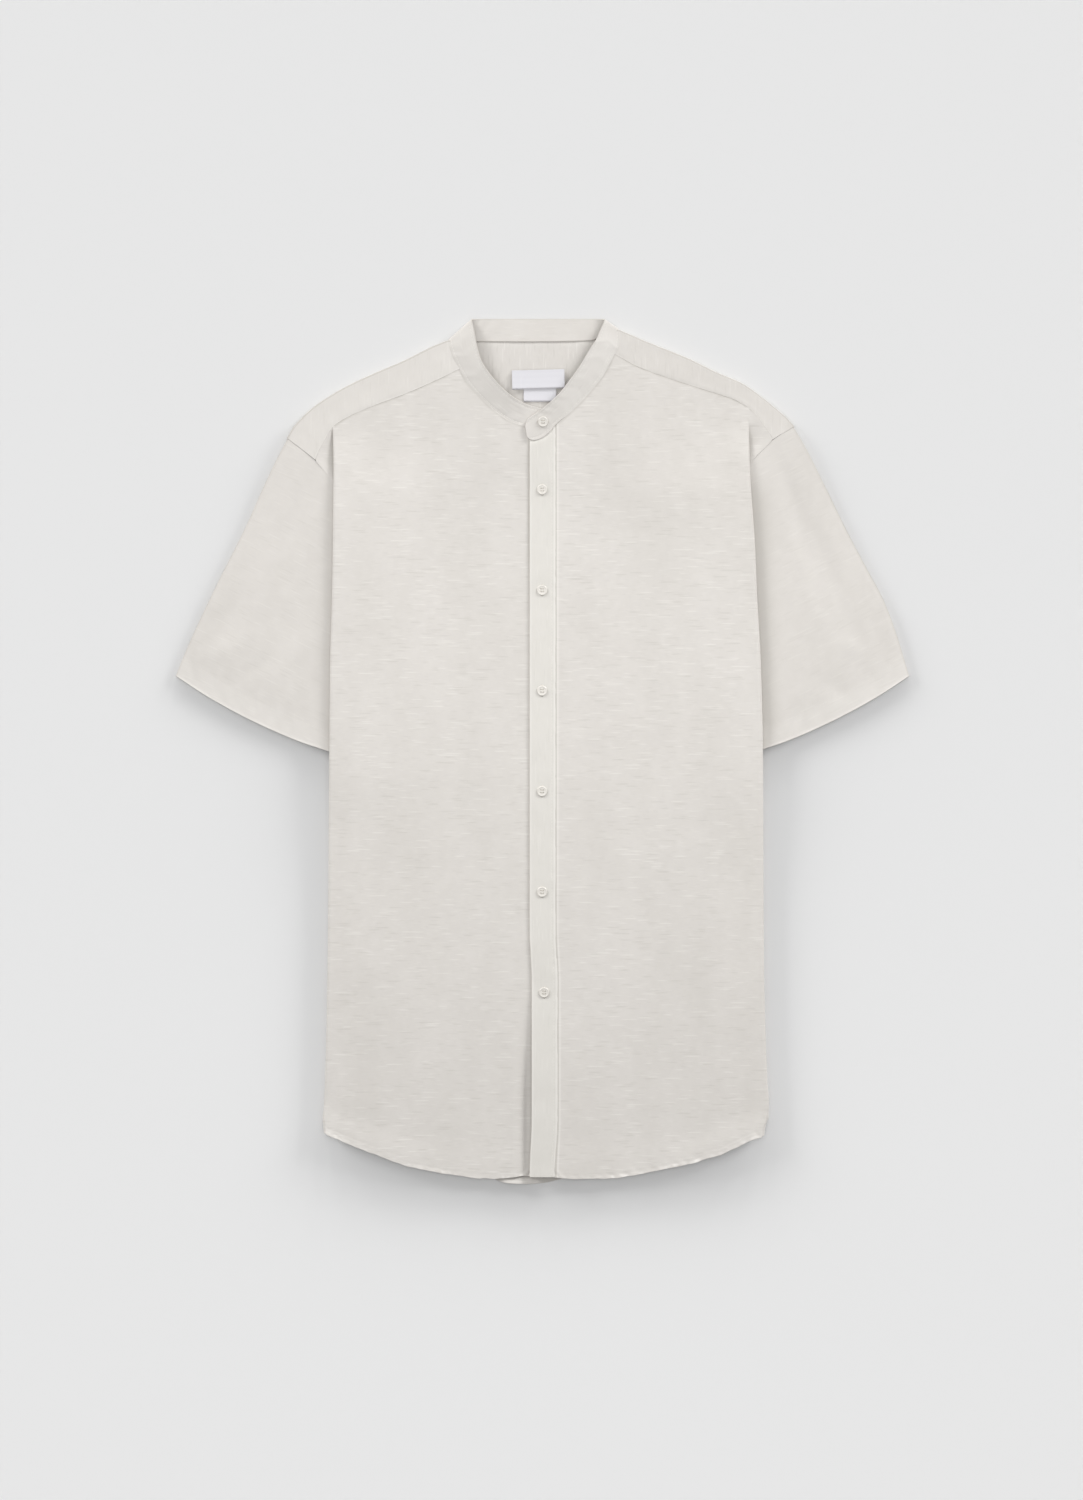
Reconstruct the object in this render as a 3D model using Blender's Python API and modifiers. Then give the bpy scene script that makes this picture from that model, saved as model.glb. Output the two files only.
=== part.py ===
"""Short-sleeved shirt with a mandarin collar, laid flat on its back with its sides tucked in.

X runs across towards the wearer's left, Y runs up towards the collar, and Z rises from the surface it lies on.
The origin is on that surface, under the middle of the shirt. Every size is in metres: tables are written in
millimetres and multiplied by MM once. "Out" is the distance from the centre line towards a side, on either side.

The body is a tube 560 mm wide when flat. Its sides are tucked in like those of a paper bag, 78 mm a side, so it
lies 400 mm wide. Each sleeve comes out between the two layers of the tuck.
"""

import math

import bmesh
import bpy
import numpy as np
from mathutils import Vector

MM = 0.001
SIDES = {"right": -1, "left": 1}

# Cloth and sewing
CLOTH = 1.0 * MM
FOLDED_BAND = 1.6 * MM  # two plies and an interlining: the collar band and the placket
SEAM_GAP = 0.35 * MM
NECK_GAP = 0.55 * MM  # between the band, which leans, and the fronts
LABEL = 1.0 * MM

# Levels of the middle of each layer above the surface
FLOOR_LAYER = 0.5 * MM
INNER_YOKE = 1.9 * MM
BACK_TUCK = 2.5 * MM
SLEEVE_BACK_IN_TUCK = 3.9 * MM
SLEEVE_FRONT_IN_TUCK = 5.5 * MM
SLEEVE_FRONT_OUTSIDE = 4.2 * MM
SHOULDER_TOP = 5.8 * MM
NECK_LEVEL = 6.2 * MM
MIDDLE_LEVEL = 4.4 * MM

# Body
BACK_HEM_BOTTOM = -401.3 * MM
BACK_HEM_RISE = 50 * MM
BACK_HEM_SPAN = 203 * MM
BACK_YOKE_SEAM = 262 * MM
BACK_SPREAD = 8.5 * MM  # how much wider the back lies at its yoke seam, over this height
BACK_SPREAD_OVER = 32 * MM
YOKE_CORNER = 0.795  # share of the yoke's front seam at which it turns down into the tuck
TUCK_TOP = 299 * MM
LEVEL_SPAN = 150 * MM  # from the side fold in to where the front is down at its middle level
SIDE_FOLD_BULGE = 1.9 * MM
BACK_FOLD_BULGE = 1.0 * MM

# The front's hem, a shirt-tail curve: out from the centre line to the side seam, height
FRONT_HEM = np.array(
    (
        (0, -395.6),
        (15, -395.8),
        (33, -397.9),
        (52, -398.0),
        (70, -396.2),
        (89, -393.4),
        (107, -390.1),
        (126, -386.2),
        (145, -380.6),
        (163, -374.4),
        (182, -366.2),
        (205, -356.4),
        (240, -339.5),
        (290, -317.0),
    )
) * MM

# Where the body folds at each side: height, out on the right, out on the left
SIDE_FOLD = np.array(
    (
        (318, 196.0, 191.5),
        (262, 194.2, 192.8),
        (196, 194.6, 197.2),
        (140, 195.6, 199.6),
        (85, 197.2, 202.6),
        (5, 197.9, 204.6),
        (-195, 199.6, 205.8),
        (-306, 202.3, 208.8),
        (-360, 203.2, 206.5),
    )
) * MM

# The tuck under each side fold: height, how far it runs in, level of the front over it, level of its front layer
TUCK = np.array(
    (
        (262, 5, 9.8, 7.1),
        (240, 7, 10.8, 7.3),
        (210, 20, 11.3, 7.3),
        (180, 37, 11.3, 7.3),
        (150, 54, 11.3, 7.3),
        (120, 68, 11.3, 7.3),
        (85, 78, 11.3, 7.3),
        (-20, 78, 10.8, 7.1),
        (-75, 78, 9.0, 5.4),
        (-130, 78, 8.0, 4.4),
        (-400, 78, 7.7, 4.3),
    )
) * MM
TUCK_SETTLES = 0.9 * MM  # how far its inner end sinks below its fold

# Seams of the top, as out and height. Each starts at the neck or the centre.
NECK_SEAM = {
    "right": ((-12.6, 296.6), (2, 297.6), (16.4, 301.3), (30.6, 306.2), (43.4, 314.8), (57.7, 328.3), (70.5, 342.5), (77.5, 354.7)),
    "left": ((12.4, 302.6), (23.5, 311.9), (34.9, 322.7), (46.2, 335.5), (56.3, 348.3), (62.5, 358.5), (67.1, 368.6)),
}
YOKE_FRONT_SEAM = {
    "right": ((77.5, 354.7), (94.4, 346.2), (125.7, 332.3), (158.4, 319.9), (184.4, 308.2), (196.1, 299.3)),
    "left": ((67.1, 368.6), (87.6, 357.2), (121.6, 344.7), (159.9, 332.4), (178, 326.2), (191.5, 318.2)),
}
# The yoke seam again, past the start of the tuck, down to the armhole seam
YOKE_SEAM_END = {
    "right": ((196.1, 299.3), (202.7, 287.9), (207.9, 278.6), (211.2, 270.3)),
    "left": ((191.5, 318.2), (199.2, 311.2), (206.8, 300.9), (214.5, 289.6)),
}
NECK_SHOULDER_SEAM = {
    "right": ((87.6, 380.6), (84.6, 367.0), (77.5, 354.7)),
    "left": ((70.8, 391.0), (71.6, 380.0), (67.1, 368.6)),
}
SHOULDER_LINE = {
    "right": ((87.6, 381.2), (106.1, 371.9), (132.2, 359.0), (151.8, 350.8), (177.9, 338.8), (197.0, 328.0), (213.0, 317.0), (226.5, 304.0), (237.2, 290.4)),
    "left": ((70.8, 391.0), (87.6, 382.2), (108.1, 373.7), (135.3, 362.7), (162.7, 349.3), (184.4, 340.0), (201, 328.5), (219, 314.0), (233.6, 301.2)),
}
# The armhole seam as sewn: its upper end shows, and the rest lies inside the tuck
ARMHOLE_SEAM = {
    "right": ((237.2, 290.4), (222.3, 279.2), (211.2, 270.3), (203.2, 260.5), (190, 236), (175, 210), (157, 178), (141, 150), (128, 120), (119.5, 88)),
    "left": ((233.6, 301.2), (226.7, 297.0), (214.5, 289.6), (203.4, 270), (194, 240), (178, 210), (160, 178), (145, 150), (133, 120), (124.5, 88)),
}

# Sleeves
SLEEVE_OUTER_EDGE = {
    "right": ((237.2, 290.4), (249.0, 268.2), (262.0, 240.2), (277.0, 206.5), (304.0, 152.0), (331.0, 93.5), (340.2, 70.2)),
    "left": ((233.6, 301.2), (247.0, 278.0), (265.5, 241.0), (283.0, 205.0), (302.0, 169.0), (318.8, 137.0), (330.5, 105.0), (340.8, 70.5)),
}
SLEEVE_HEM = ((341.0, 70.0), (309.2, 49.4), (267.4, 27.0), (225.5, 8.8), (197.6, -0.5), (181.0, -6.5))
SLEEVE_EDGE_BULGE = 1.4 * MM
SLEEVE_INSET = 1.9 * MM  # from the seen edge in to where the fold starts to turn
FADE_OUT = 35 * MM  # how far outside the body the sleeve comes down onto the surface

# Placket and buttons
PLACKET_WIDTH = 24.2 * MM
PLACKET_LEAN = 1.5 * MM
PLACKET_LEAN_AT = -255 * MM
PLACKET_LEAN_SPREAD = 75 * MM
PLACKET_BOTTOM = -395.4 * MM
PLACKET_LEVEL = 5.3 * MM
PLACKET_TOP_LEVEL = 6.1 * MM
PLACKET_HEM_LIFT = 1.9 * MM
UNDER_PLACKET = 1.7 * MM  # from the placket's middle down to that of the right front below it
TAB_SEAM = ((-12.1, 286.9), (-4.3, 288.5), (0.7, 291.0), (4.9, 293.9), (8.8, 298.0), (12.1, 302.3))
BUTTON_WIDTH = 10.2 * MM
BUTTON_HEIGHT = 2.2 * MM
BUTTON_RIM = 0.5 * MM
BUTTON_HOLE = 1.1 * MM
BUTTON_HOLE_SPREAD = 1.05 * MM
BUTTON_FIRST = 242.7 * MM
BUTTON_STEP = 93.4 * MM
BUTTONS_ON_PLACKET = 6
COLLAR_BUTTON = (0.4 * MM, 305.6 * MM)

# Collar band, one row for each section from the end under the tab round the neck to the tab:
# seam across, seam height, seam level, free edge across, free edge height, free edge level
COLLAR_BAND = np.array(
    (
        (12.0, 297.4, 3.9, 13.0, 317.6, 4.1),
        (-2.0, 298.4, 3.9, 1.5, 317.8, 4.2),
        (-16.4, 302.0, 4.3, -9.0, 319.8, 5.2),
        (-30.6, 307.0, 4.9, -20.5, 324.4, 7.6),
        (-43.4, 315.6, 5.5, -31.0, 331.2, 9.6),
        (-57.7, 329.0, 6.0, -41.5, 340.9, 11.0),
        (-69.8, 343.4, 6.2, -51.0, 352.3, 11.6),
        (-76.8, 355.8, 6.2, -57.3, 363.0, 11.6),
        (-82.4, 367.6, 6.0, -61.2, 377.0, 11.2),
        (-85.2, 377.0, 5.0, -63.8, 391.0, 9.8),
        (-85.4, 381.4, 3.2, -65.6, 400.0, 6.6),
        (-81.0, 382.2, 1.4, -62.5, 401.2, 3.4),
        (-60.0, 381.6, 1.1, -50.0, 401.3, 2.3),
        (-8.0, 381.4, 1.1, -6.0, 401.3, 2.0),
        (36.0, 382.2, 1.1, 34.0, 401.3, 2.3),
        (59.0, 389.4, 1.5, 52.0, 401.2, 3.4),
        (68.6, 391.6, 3.6, 57.4, 400.0, 7.0),
        (69.8, 382.6, 5.6, 54.0, 391.0, 10.2),
        (69.2, 375.0, 6.2, 49.6, 381.0, 11.4),
        (65.6, 368.2, 6.3, 44.0, 372.4, 11.9),
        (55.4, 348.8, 6.4, 34.6, 356.6, 12.0),
        (45.4, 336.2, 6.4, 26.8, 345.8, 11.8),
        (34.2, 323.6, 6.4, 17.6, 333.8, 11.0),
        (22.8, 312.8, 6.4, 8.0, 324.2, 10.0),
        (11.6, 303.6, 6.4, -1.4, 316.4, 8.9),
        (5.2, 295.2, 6.4, -7.0, 312.6, 8.2),
        (-3.8, 289.6, 6.5, -11.4, 309.6, 7.7),
        (-13.6, 287.9, 6.6, -16.4, 305.2, 7.3),
    )
) * MM
TAB_CORNER = 9 * MM

# Neck labels: across, height, level, turn
NECK_LABEL_SIZE = (48.5 * MM, 17.6 * MM)
NECK_LABEL_AT = (-3.9 * MM, 345.2 * MM, 4.7 * MM)
NECK_LABEL_TURN = math.radians(1.6)
FIT_LABEL_SIZE = (30 * MM, 18 * MM)
FIT_LABEL_AT = (-2.4 * MM, 333.6 * MM, 3.3 * MM)

# Soft waves in the front: across, height, half width, half length, lift
FRONT_WAVES = np.array(
    (
        (-148, 60, 22, 160, 0.7),
        (-92, 150, 16, 90, 0.5),
        (-60, -180, 20, 130, 0.6),
        (-120, -260, 24, 90, 0.6),
        (62, 40, 18, 110, 0.5),
        (120, 20, 20, 170, 0.7),
        (160, -170, 20, 120, 0.6),
        (84, -250, 22, 100, 0.6),
    )
) * MM

CLOTH_COLOUR = (0.76, 0.73, 0.68, 1.0)
PLACKET_COLOUR = (0.79, 0.76, 0.71, 1.0)
BUTTON_COLOUR = (0.84, 0.82, 0.78, 1.0)
LABEL_COLOUR = (0.80, 0.80, 0.82, 1.0)


def smooth(share):
    """0 below 0, 1 above 1, and an S between."""
    share = np.clip(share, 0.0, 1.0)
    return share * share * (3 - 2 * share)


def through(at, xs, ys):
    """The smooth curve through a table's rows, with no overshoot between them."""
    xs = np.asarray(xs, float)
    ys = np.asarray(ys, float)
    if xs[0] > xs[-1]:
        xs = xs[::-1]
        ys = ys[::-1]
    step = np.diff(xs)
    rise = np.diff(ys) / step
    same_way = rise[:-1] * rise[1:] > 0
    mean = 2 * rise[:-1] * rise[1:] / np.where(same_way, rise[:-1] + rise[1:], 1)
    slope = np.concatenate(([rise[0]], np.where(same_way, mean, 0), [rise[-1]]))
    at = np.clip(at, xs[0], xs[-1])
    i = np.clip(np.searchsorted(xs, at) - 1, 0, len(xs) - 2)
    t = (at - xs[i]) / step[i]
    start = ys[i] * (1 + 2 * t) * (1 - t) ** 2 + slope[i] * step[i] * t * (1 - t) ** 2
    end = ys[i + 1] * t * t * (3 - 2 * t) - slope[i + 1] * step[i] * t * t * (1 - t)
    return start + end


def along(rows, share):
    """Points at these shares of the length of the smooth curve through rows."""
    rows = np.asarray(rows, float)
    chord = np.concatenate(([0], np.cumsum(np.linalg.norm(np.diff(rows, axis=0), axis=1))))
    at = np.asarray(share) * chord[-1]
    return np.stack([through(at, chord, rows[:, k]) for k in range(rows.shape[1])], axis=-1)


def patch(top, bottom, start, end, u, v):
    """A surface between four edges (Coons). top and bottom run along u, start and end run along v."""
    u = u[:, None, None]
    v = v[None, :, None]
    edges = (1 - v) * top[:, None] + v * bottom[:, None] + (1 - u) * start[None] + u * end[None]
    corners = (1 - u) * ((1 - v) * top[0] + v * bottom[0]) + u * ((1 - v) * top[-1] + v * bottom[-1])
    return edges - corners


def side_fold(height, side):
    return through(height, SIDE_FOLD[:, 0], SIDE_FOLD[:, 1 if side == "right" else 2])


def tuck(height):
    """How far the tuck runs in, the level of the front over it, and the level of its front layer."""
    return [through(height, TUCK[:, 0], TUCK[:, k]) for k in (1, 2, 3)]


def placket_lean(height):
    return PLACKET_LEAN * np.exp(-(((height - PLACKET_LEAN_AT) / PLACKET_LEAN_SPREAD) ** 2))


def front_hem(out):
    return through(np.abs(out), FRONT_HEM[:, 0], FRONT_HEM[:, 1])


def back_hem(out):
    return BACK_HEM_BOTTOM + BACK_HEM_RISE * (out / BACK_HEM_SPAN) ** 2


def waves(x, height):
    lift = np.zeros(np.broadcast(x, height).shape)
    for across, up, half_width, half_length, rise in FRONT_WAVES:
        lift += rise * np.exp(-(((x - across) / half_width) ** 2) - ((height - up) / half_length) ** 2)
    return lift


def front_level(out, height, side):
    """The level of the front's top layer: high over the tuck, low at the middle, flat towards the neck."""
    fold = side_fold(height, side)
    over_tuck = np.where(height > TUCK[0, 0], NECK_LEVEL, tuck(height)[1])
    start = smooth((TUCK_TOP + 12 * MM - height) / (48 * MM))
    at_fold = NECK_LEVEL + (tuck(np.minimum(height, TUCK[0, 0]))[1] - NECK_LEVEL) * start
    at_fold = np.where(height > TUCK[0, 0], at_fold, over_tuck * start + NECK_LEVEL * (1 - start))
    middle = MIDDLE_LEVEL + (NECK_LEVEL - MIDDLE_LEVEL) * smooth((height - 190 * MM) / (110 * MM))
    level = middle + (at_fold - middle) * (1 - smooth((fold - out) / LEVEL_SPAN))
    at_centre = placket_level(height) - (UNDER_PLACKET if side == "right" else 0)
    towards_centre = 1 - smooth((out - 14 * MM) / (30 * MM))
    return level + (at_centre - level) * towards_centre


def placket_level(height):
    top = (PLACKET_TOP_LEVEL - PLACKET_LEVEL) * smooth((height - 230 * MM) / (50 * MM))
    return PLACKET_LEVEL + top + PLACKET_HEM_LIFT * smooth((-190 * MM - height) / (130 * MM))


def outer_share(out, height, side):
    """1 between the layers of the body, falling to 0 where the sleeve lies on the surface."""
    return 1 - smooth((out - side_fold(height, side) - 3 * MM) / FADE_OUT)


def tuck_sink(out, height, side):
    """0 at the side fold and 1 at the tuck's innermost end."""
    return smooth((side_fold(height, side) - out) / (78 * MM))


def material(name, colour, roughness):
    made = bpy.data.materials.new(name)
    made.use_nodes = True
    shader = made.node_tree.nodes["Principled BSDF"]
    shader.inputs["Base Color"].default_value = colour
    shader.inputs["Roughness"].default_value = roughness
    shader.inputs["Metallic"].default_value = 0.0
    return made


def add_object(name, mesh, finish, collection, shirt):
    made = bpy.data.objects.new(name, mesh)
    if not mesh.materials:
        mesh.materials.append(finish)
    collection.objects.link(made)
    made.parent = shirt
    return made


def cloth_wall(name, points, thickness, scene, finish, keep=None, ring=False):
    """One closed wall of cloth on a grid of points, its middle. keep says which cells of the grid are cloth."""
    rows, columns = points.shape[:2]
    index = np.arange(rows * columns).reshape(rows, columns)
    if ring:
        index = np.concatenate((index, index[:1]))
    faces = np.stack((index[:-1, :-1], index[1:, :-1], index[1:, 1:], index[:-1, 1:]), axis=-1)
    if keep is not None:
        faces = faces[keep]
    mesh = bpy.data.meshes.new(name)
    mesh.from_pydata(points.reshape(-1, 3).tolist(), [], faces.reshape(-1, 4).tolist())
    shell = bmesh.new()
    shell.from_mesh(mesh)
    loose = [v for v in shell.verts if not v.link_faces]
    bmesh.ops.delete(shell, geom=loose, context="VERTS")
    bmesh.ops.recalc_face_normals(shell, faces=shell.faces)
    shell.to_mesh(mesh)
    shell.free()
    mesh.shade_smooth()
    made = add_object(name, mesh, finish, *scene)
    wall = made.modifiers.new("cloth", "SOLIDIFY")
    wall.thickness = thickness
    wall.offset = 0.0
    return made


def grid(x, y, z):
    return np.stack(np.broadcast_arrays(x, y, z), axis=-1)


def make_front(side, scene, finish):
    """A front panel: its top layer, the fold at its side, and the part that is tucked in under it.

    Columns run from the centre edge to the side fold, round it and in to the side seam. In the first rows the
    last columns come out again from under the fold, to the yoke seam and the armhole seam.
    """
    sign = SIDES[side]
    neck = np.array(NECK_SEAM[side]) * MM
    yoke = np.array(YOKE_FRONT_SEAM[side]) * MM
    end = np.array(YOKE_SEAM_END[side]) * MM
    armhole = np.array(ARMHOLE_SEAM[side]) * MM
    corner = neck[-1, 0]
    start_height = yoke[-1, 1] - SEAM_GAP
    last_open = 262 * MM

    # Shares of the way from the top seam to the hem, at the side fold. The first few end where the tuck closes.
    length = start_height - front_hem(side_fold(front_hem(200 * MM), side))
    open_share = (start_height - last_open) / length
    shares = np.concatenate((np.linspace(0, open_share, 5), np.linspace(open_share, 1, 24)[1:]))
    open_rows = 4

    # The top layer
    fold_start = yoke[-1, 0] - 2.4 * MM
    inner = neck[0, 0] + SEAM_GAP
    outs = np.concatenate(
        (np.linspace(inner, corner, 8), np.linspace(corner, fold_start, 9)[1:])
    )
    top_table = np.concatenate((neck, yoke[1:]))
    top = through(outs, top_table[:, 0], top_table[:, 1])
    gap = np.where(outs < corner - 1 * MM, NECK_GAP, SEAM_GAP)
    top = top - gap * np.hypot(1, np.gradient(top, outs))
    share_out = (outs - inner) / (fold_start - inner)
    layer = np.empty((len(shares), len(outs), 3))
    for j, share in enumerate(shares):
        height = top + (front_hem(outs) - top) * share
        edge_now = side_fold(height, side) - 2.4 * MM
        lean = placket_lean(height) * sign * (1 - share_out)
        out = inner + share_out * (edge_now - inner) + lean
        level = front_level(out, height, side) + waves(sign * out, height)
        layer[j] = grid(sign * out, height, level)

    # Round the fold and in
    turn = np.linspace(0, 1, 6)[1:]
    inwards = np.linspace(0, 1, 5)[1:]
    rounds = np.empty((len(shares), len(turn) + len(inwards), 3))
    comes_out = np.empty((len(shares), 6, 3))
    for j, share in enumerate(shares):
        start_point = layer[j, -1]
        height = start_point[1]
        depth, _, under = tuck(height)
        base = abs(start_point[0])
        over = start_point[2]
        if j <= open_rows:
            # An S: out over the fold, back, and out again to the seam, as one cubic with long handles
            fall = 2.2 * MM * (1 - smooth(j / 1.0))
            if height - fall > end[-1, 1]:
                reach = through(height - fall, end[:, 1], end[:, 0])
            else:
                reach = through(height, armhole[:5, 1], armhole[:5, 0])
            reach = max(reach - 0.9 * MM, base + 2.2 * MM)
            low = SLEEVE_FRONT_IN_TUCK + 0.2 * MM + (NECK_LEVEL - SLEEVE_FRONT_IN_TUCK) * (1 - smooth(j / 2))
            handle_out = (1 + 12 * smooth(j / open_rows)) * MM
            handle_back = (1 + 20 * smooth(j / open_rows)) * MM
            t = np.linspace(0, 1, len(turn) + len(inwards) + 7)[1:]
            out = (
                base * (1 - t) ** 3
                + 3 * (base + handle_out) * t * (1 - t) ** 2
                + 3 * (reach - handle_back) * t * t * (1 - t)
                + reach * t**3
            )
            level = over + (low - over) * smooth(t)
            s_curve = grid(sign * out, height - fall * t, level)
            rounds[j] = s_curve[: rounds.shape[1]]
            comes_out[j] = s_curve[rounds.shape[1] :]
            continue
        angle = turn * math.pi
        round_out = base + SIDE_FOLD_BULGE * np.sin(angle)
        round_level = (over + under) / 2 + (over - under) / 2 * np.cos(angle)
        in_out = base - inwards * (depth - 2.4 * MM)
        sink = TUCK_SETTLES * smooth((depth - 2.4 * MM) * inwards / (78 * MM))
        in_level = under - sink
        out = np.concatenate((round_out, in_out))
        level = np.concatenate((round_level, in_level))
        travelled = side_fold(height, side) + np.concatenate((0 * turn, inwards * depth))
        at_hem = front_hem(travelled)
        drop = (start_height - at_hem) * share
        rounds[j] = grid(sign * out, start_height - drop, level)
    points = np.concatenate((layer, rounds, comes_out), axis=1)
    rows, columns = len(shares) - 1, points.shape[1] - 1
    keep = np.ones((rows, columns), bool)
    keep[open_rows:, layer.shape[1] + rounds.shape[1] - 1 :] = False
    points[open_rows + 1 :, layer.shape[1] + rounds.shape[1] :] = points[open_rows, -1]
    return cloth_wall(f"front_{side}", points, CLOTH, scene, finish, keep)


def make_back(scene, finish):
    """The back below its yoke, with both sides folded up and tucked in over it."""
    shares = np.linspace(0, 1, 22)
    angle = np.linspace(0, 1, 5)[1:] * math.pi
    inwards = np.linspace(0, 1, 4)[1:]
    middle = np.linspace(-1, 1, 11)
    top = BACK_YOKE_SEAM - SEAM_GAP
    points = []
    for share in shares:
        parts = []
        for side, sign in SIDES.items():
            base_hem = back_hem(side_fold(back_hem(200 * MM), side))
            height = top + (base_hem - top) * share
            spread = BACK_SPREAD * smooth((height - top) / BACK_SPREAD_OVER + 1)
            fold = side_fold(height, side) - BACK_FOLD_BULGE - CLOTH / 2 + spread
            depth = tuck(np.minimum(height, TUCK[0, 0]))[0] + spread
            halfway = (FLOOR_LAYER + BACK_TUCK) / 2
            radius = (BACK_TUCK - FLOOR_LAYER) / 2
            round_out = fold + BACK_FOLD_BULGE * np.sin(angle)
            round_level = halfway - radius * np.cos(angle)
            in_out = fold - inwards * (depth - 1.5 * MM)
            in_level = BACK_TUCK - 0.6 * MM * smooth((fold - in_out) / (78 * MM))
            travelled = fold + np.concatenate((0 * angle, inwards * depth))
            heights = top + (back_hem(travelled) - top) * share
            part = grid(
                sign * np.concatenate((round_out, in_out)),
                heights,
                np.concatenate((round_level, in_level)),
            )
            parts.append((fold, part))
        (right_fold, right), (left_fold, left) = parts
        across = np.where(middle < 0, middle * right_fold, middle * left_fold)
        heights = top + (back_hem(np.abs(across)) - top) * share
        flat = grid(across, heights, FLOOR_LAYER)
        points.append(np.concatenate((right[::-1], flat, left)))
    return cloth_wall("back_panel", np.array(points), CLOTH, scene, finish)


def back_leg_level(out, height, side):
    """The back of the yoke lies on the surface, and lifts at the side to pass over the top of the tuck."""
    rise = smooth((300 * MM - height) / (30 * MM))
    inside = smooth((out - side_fold(height, side) + 14 * MM) / (12 * MM))
    lift = (SLEEVE_BACK_IN_TUCK - FLOOR_LAYER) * rise * inside * outer_share(out, height, side)
    return FLOOR_LAYER + lift


def yoke_top_level(out, height, side):
    """The front of the yoke: as high as the front it is sewn to, lower past the start of the tuck."""
    past = smooth((out - side_fold(height, side) - 1 * MM) / (9 * MM))
    near_fold = NECK_LEVEL + 0.2 * MM
    level = near_fold + (SLEEVE_FRONT_IN_TUCK + 0.2 * MM - near_fold) * past
    return level


def make_yoke(scene, finish):
    """The yoke: one piece over both shoulders, from the back yoke seam to the front yoke seams, round the neck."""
    u = np.concatenate((np.linspace(0, YOKE_CORNER, 9), np.linspace(YOKE_CORNER, 1, 4)[1:]))
    back_share = np.linspace(0, 1, 6)
    front_share = np.linspace(0, 1, 5)
    turn = np.linspace(0, 1, 6)[1:-1] * math.pi
    halves = {}
    for side, sign in SIDES.items():
        shoulder = along(np.array(SHOULDER_LINE[side]) * MM, u)
        seam_rows = np.concatenate((YOKE_FRONT_SEAM[side], YOKE_SEAM_END[side][1:])) * MM
        front_seam = along(seam_rows, u) + (0, SEAM_GAP)
        armhole = np.array(ARMHOLE_SEAM[side]) * MM
        heights = shoulder[-1, 1] + (seam_rows[-1, 1] - shoulder[-1, 1]) * front_share
        to_armhole = np.stack((through(heights, armhole[:, 1], armhole[:, 0]) - 1.5 * SEAM_GAP, heights), axis=-1)
        to_neck = along(np.array(NECK_SHOULDER_SEAM[side]) * MM, front_share) + (2 * SEAM_GAP, 0)
        front_seam[-1] = to_armhole[-1]
        front_seam[0] = to_neck[-1] + (0, SEAM_GAP)
        to_neck[-1] = front_seam[0]
        shoulder[0] = to_neck[0]
        shoulder[-1] = to_armhole[0]
        front = patch(shoulder, front_seam, to_neck, to_armhole, u, front_share)
        heights = shoulder[-1, 1] + (BACK_YOKE_SEAM - shoulder[-1, 1]) * back_share
        to_back = np.stack((through(heights, armhole[:, 1], armhole[:, 0]) - 2 * SEAM_GAP, heights), axis=-1)
        to_back[0] = shoulder[-1]
        foot = shoulder[0] * (0.9, 0) + (to_back[-1] - shoulder[0] * (0.9, 0)) * u[:, None]
        foot[:, 1] = BACK_YOKE_SEAM
        straight = np.linspace(shoulder[0], foot[0], len(back_share))
        back = patch(shoulder, foot, straight, to_back, u, back_share)[:, ::-1]
        back_level = back_leg_level(back[..., 0], back[..., 1], side)
        front_top = yoke_top_level(front[..., 0], front[..., 1], side)
        along_line = np.gradient(shoulder, axis=0)
        outward = np.stack((-along_line[:, 1], along_line[:, 0]), axis=-1)
        outward /= np.linalg.norm(outward, axis=1)[:, None]
        bulge = 1.7 * MM
        low = back_level[:, -1]
        high = front_top[:, 0]
        rounds = shoulder[:, None] + bulge * np.sin(turn)[None, :, None] * outward[:, None]
        round_level = ((low + high) / 2)[:, None] - ((high - low) / 2)[:, None] * np.cos(turn)[None]
        plan = np.concatenate((back, rounds, front), axis=1)
        level = np.concatenate((back_level, round_level, front_top), axis=1)
        halves[side] = grid(sign * plan[..., 0], plan[..., 1], level)
    legs = halves["right"].shape[1]
    back_rows = len(back_share)
    right_corner = halves["right"][0, back_rows - 1]
    left_corner = halves["left"][0, back_rows - 1]
    neck_line = np.array(
        (right_corner[:2], (-0.06, 0.3804), (-0.008, 0.3804), (0.036, 0.3811), (0.058, 0.3872), left_corner[:2])
    )
    v = np.linspace(0, 1, 9)[1:-1]
    neck = along(neck_line, v)
    feet = np.linspace(halves["right"][0, 0, :2], halves["left"][0, 0, :2], 9)[1:-1]
    middle = np.zeros((len(v), legs, 3))
    plan = feet[:, None] + (neck - feet)[:, None] * back_share[None, :, None]
    middle[:, :back_rows, :2] = plan
    middle[:, :back_rows, 2] = FLOOR_LAYER
    middle[:, back_rows:] = middle[:, back_rows - 1 : back_rows]
    points = np.concatenate((halves["right"][::-1], middle, halves["left"]))
    keep = np.ones((points.shape[0] - 1, legs - 1), bool)
    first = len(u) - 1
    keep[first : first + len(v) + 1, back_rows - 1 :] = False
    return cloth_wall("yoke_outer", points, CLOTH, scene, finish, keep)


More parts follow.
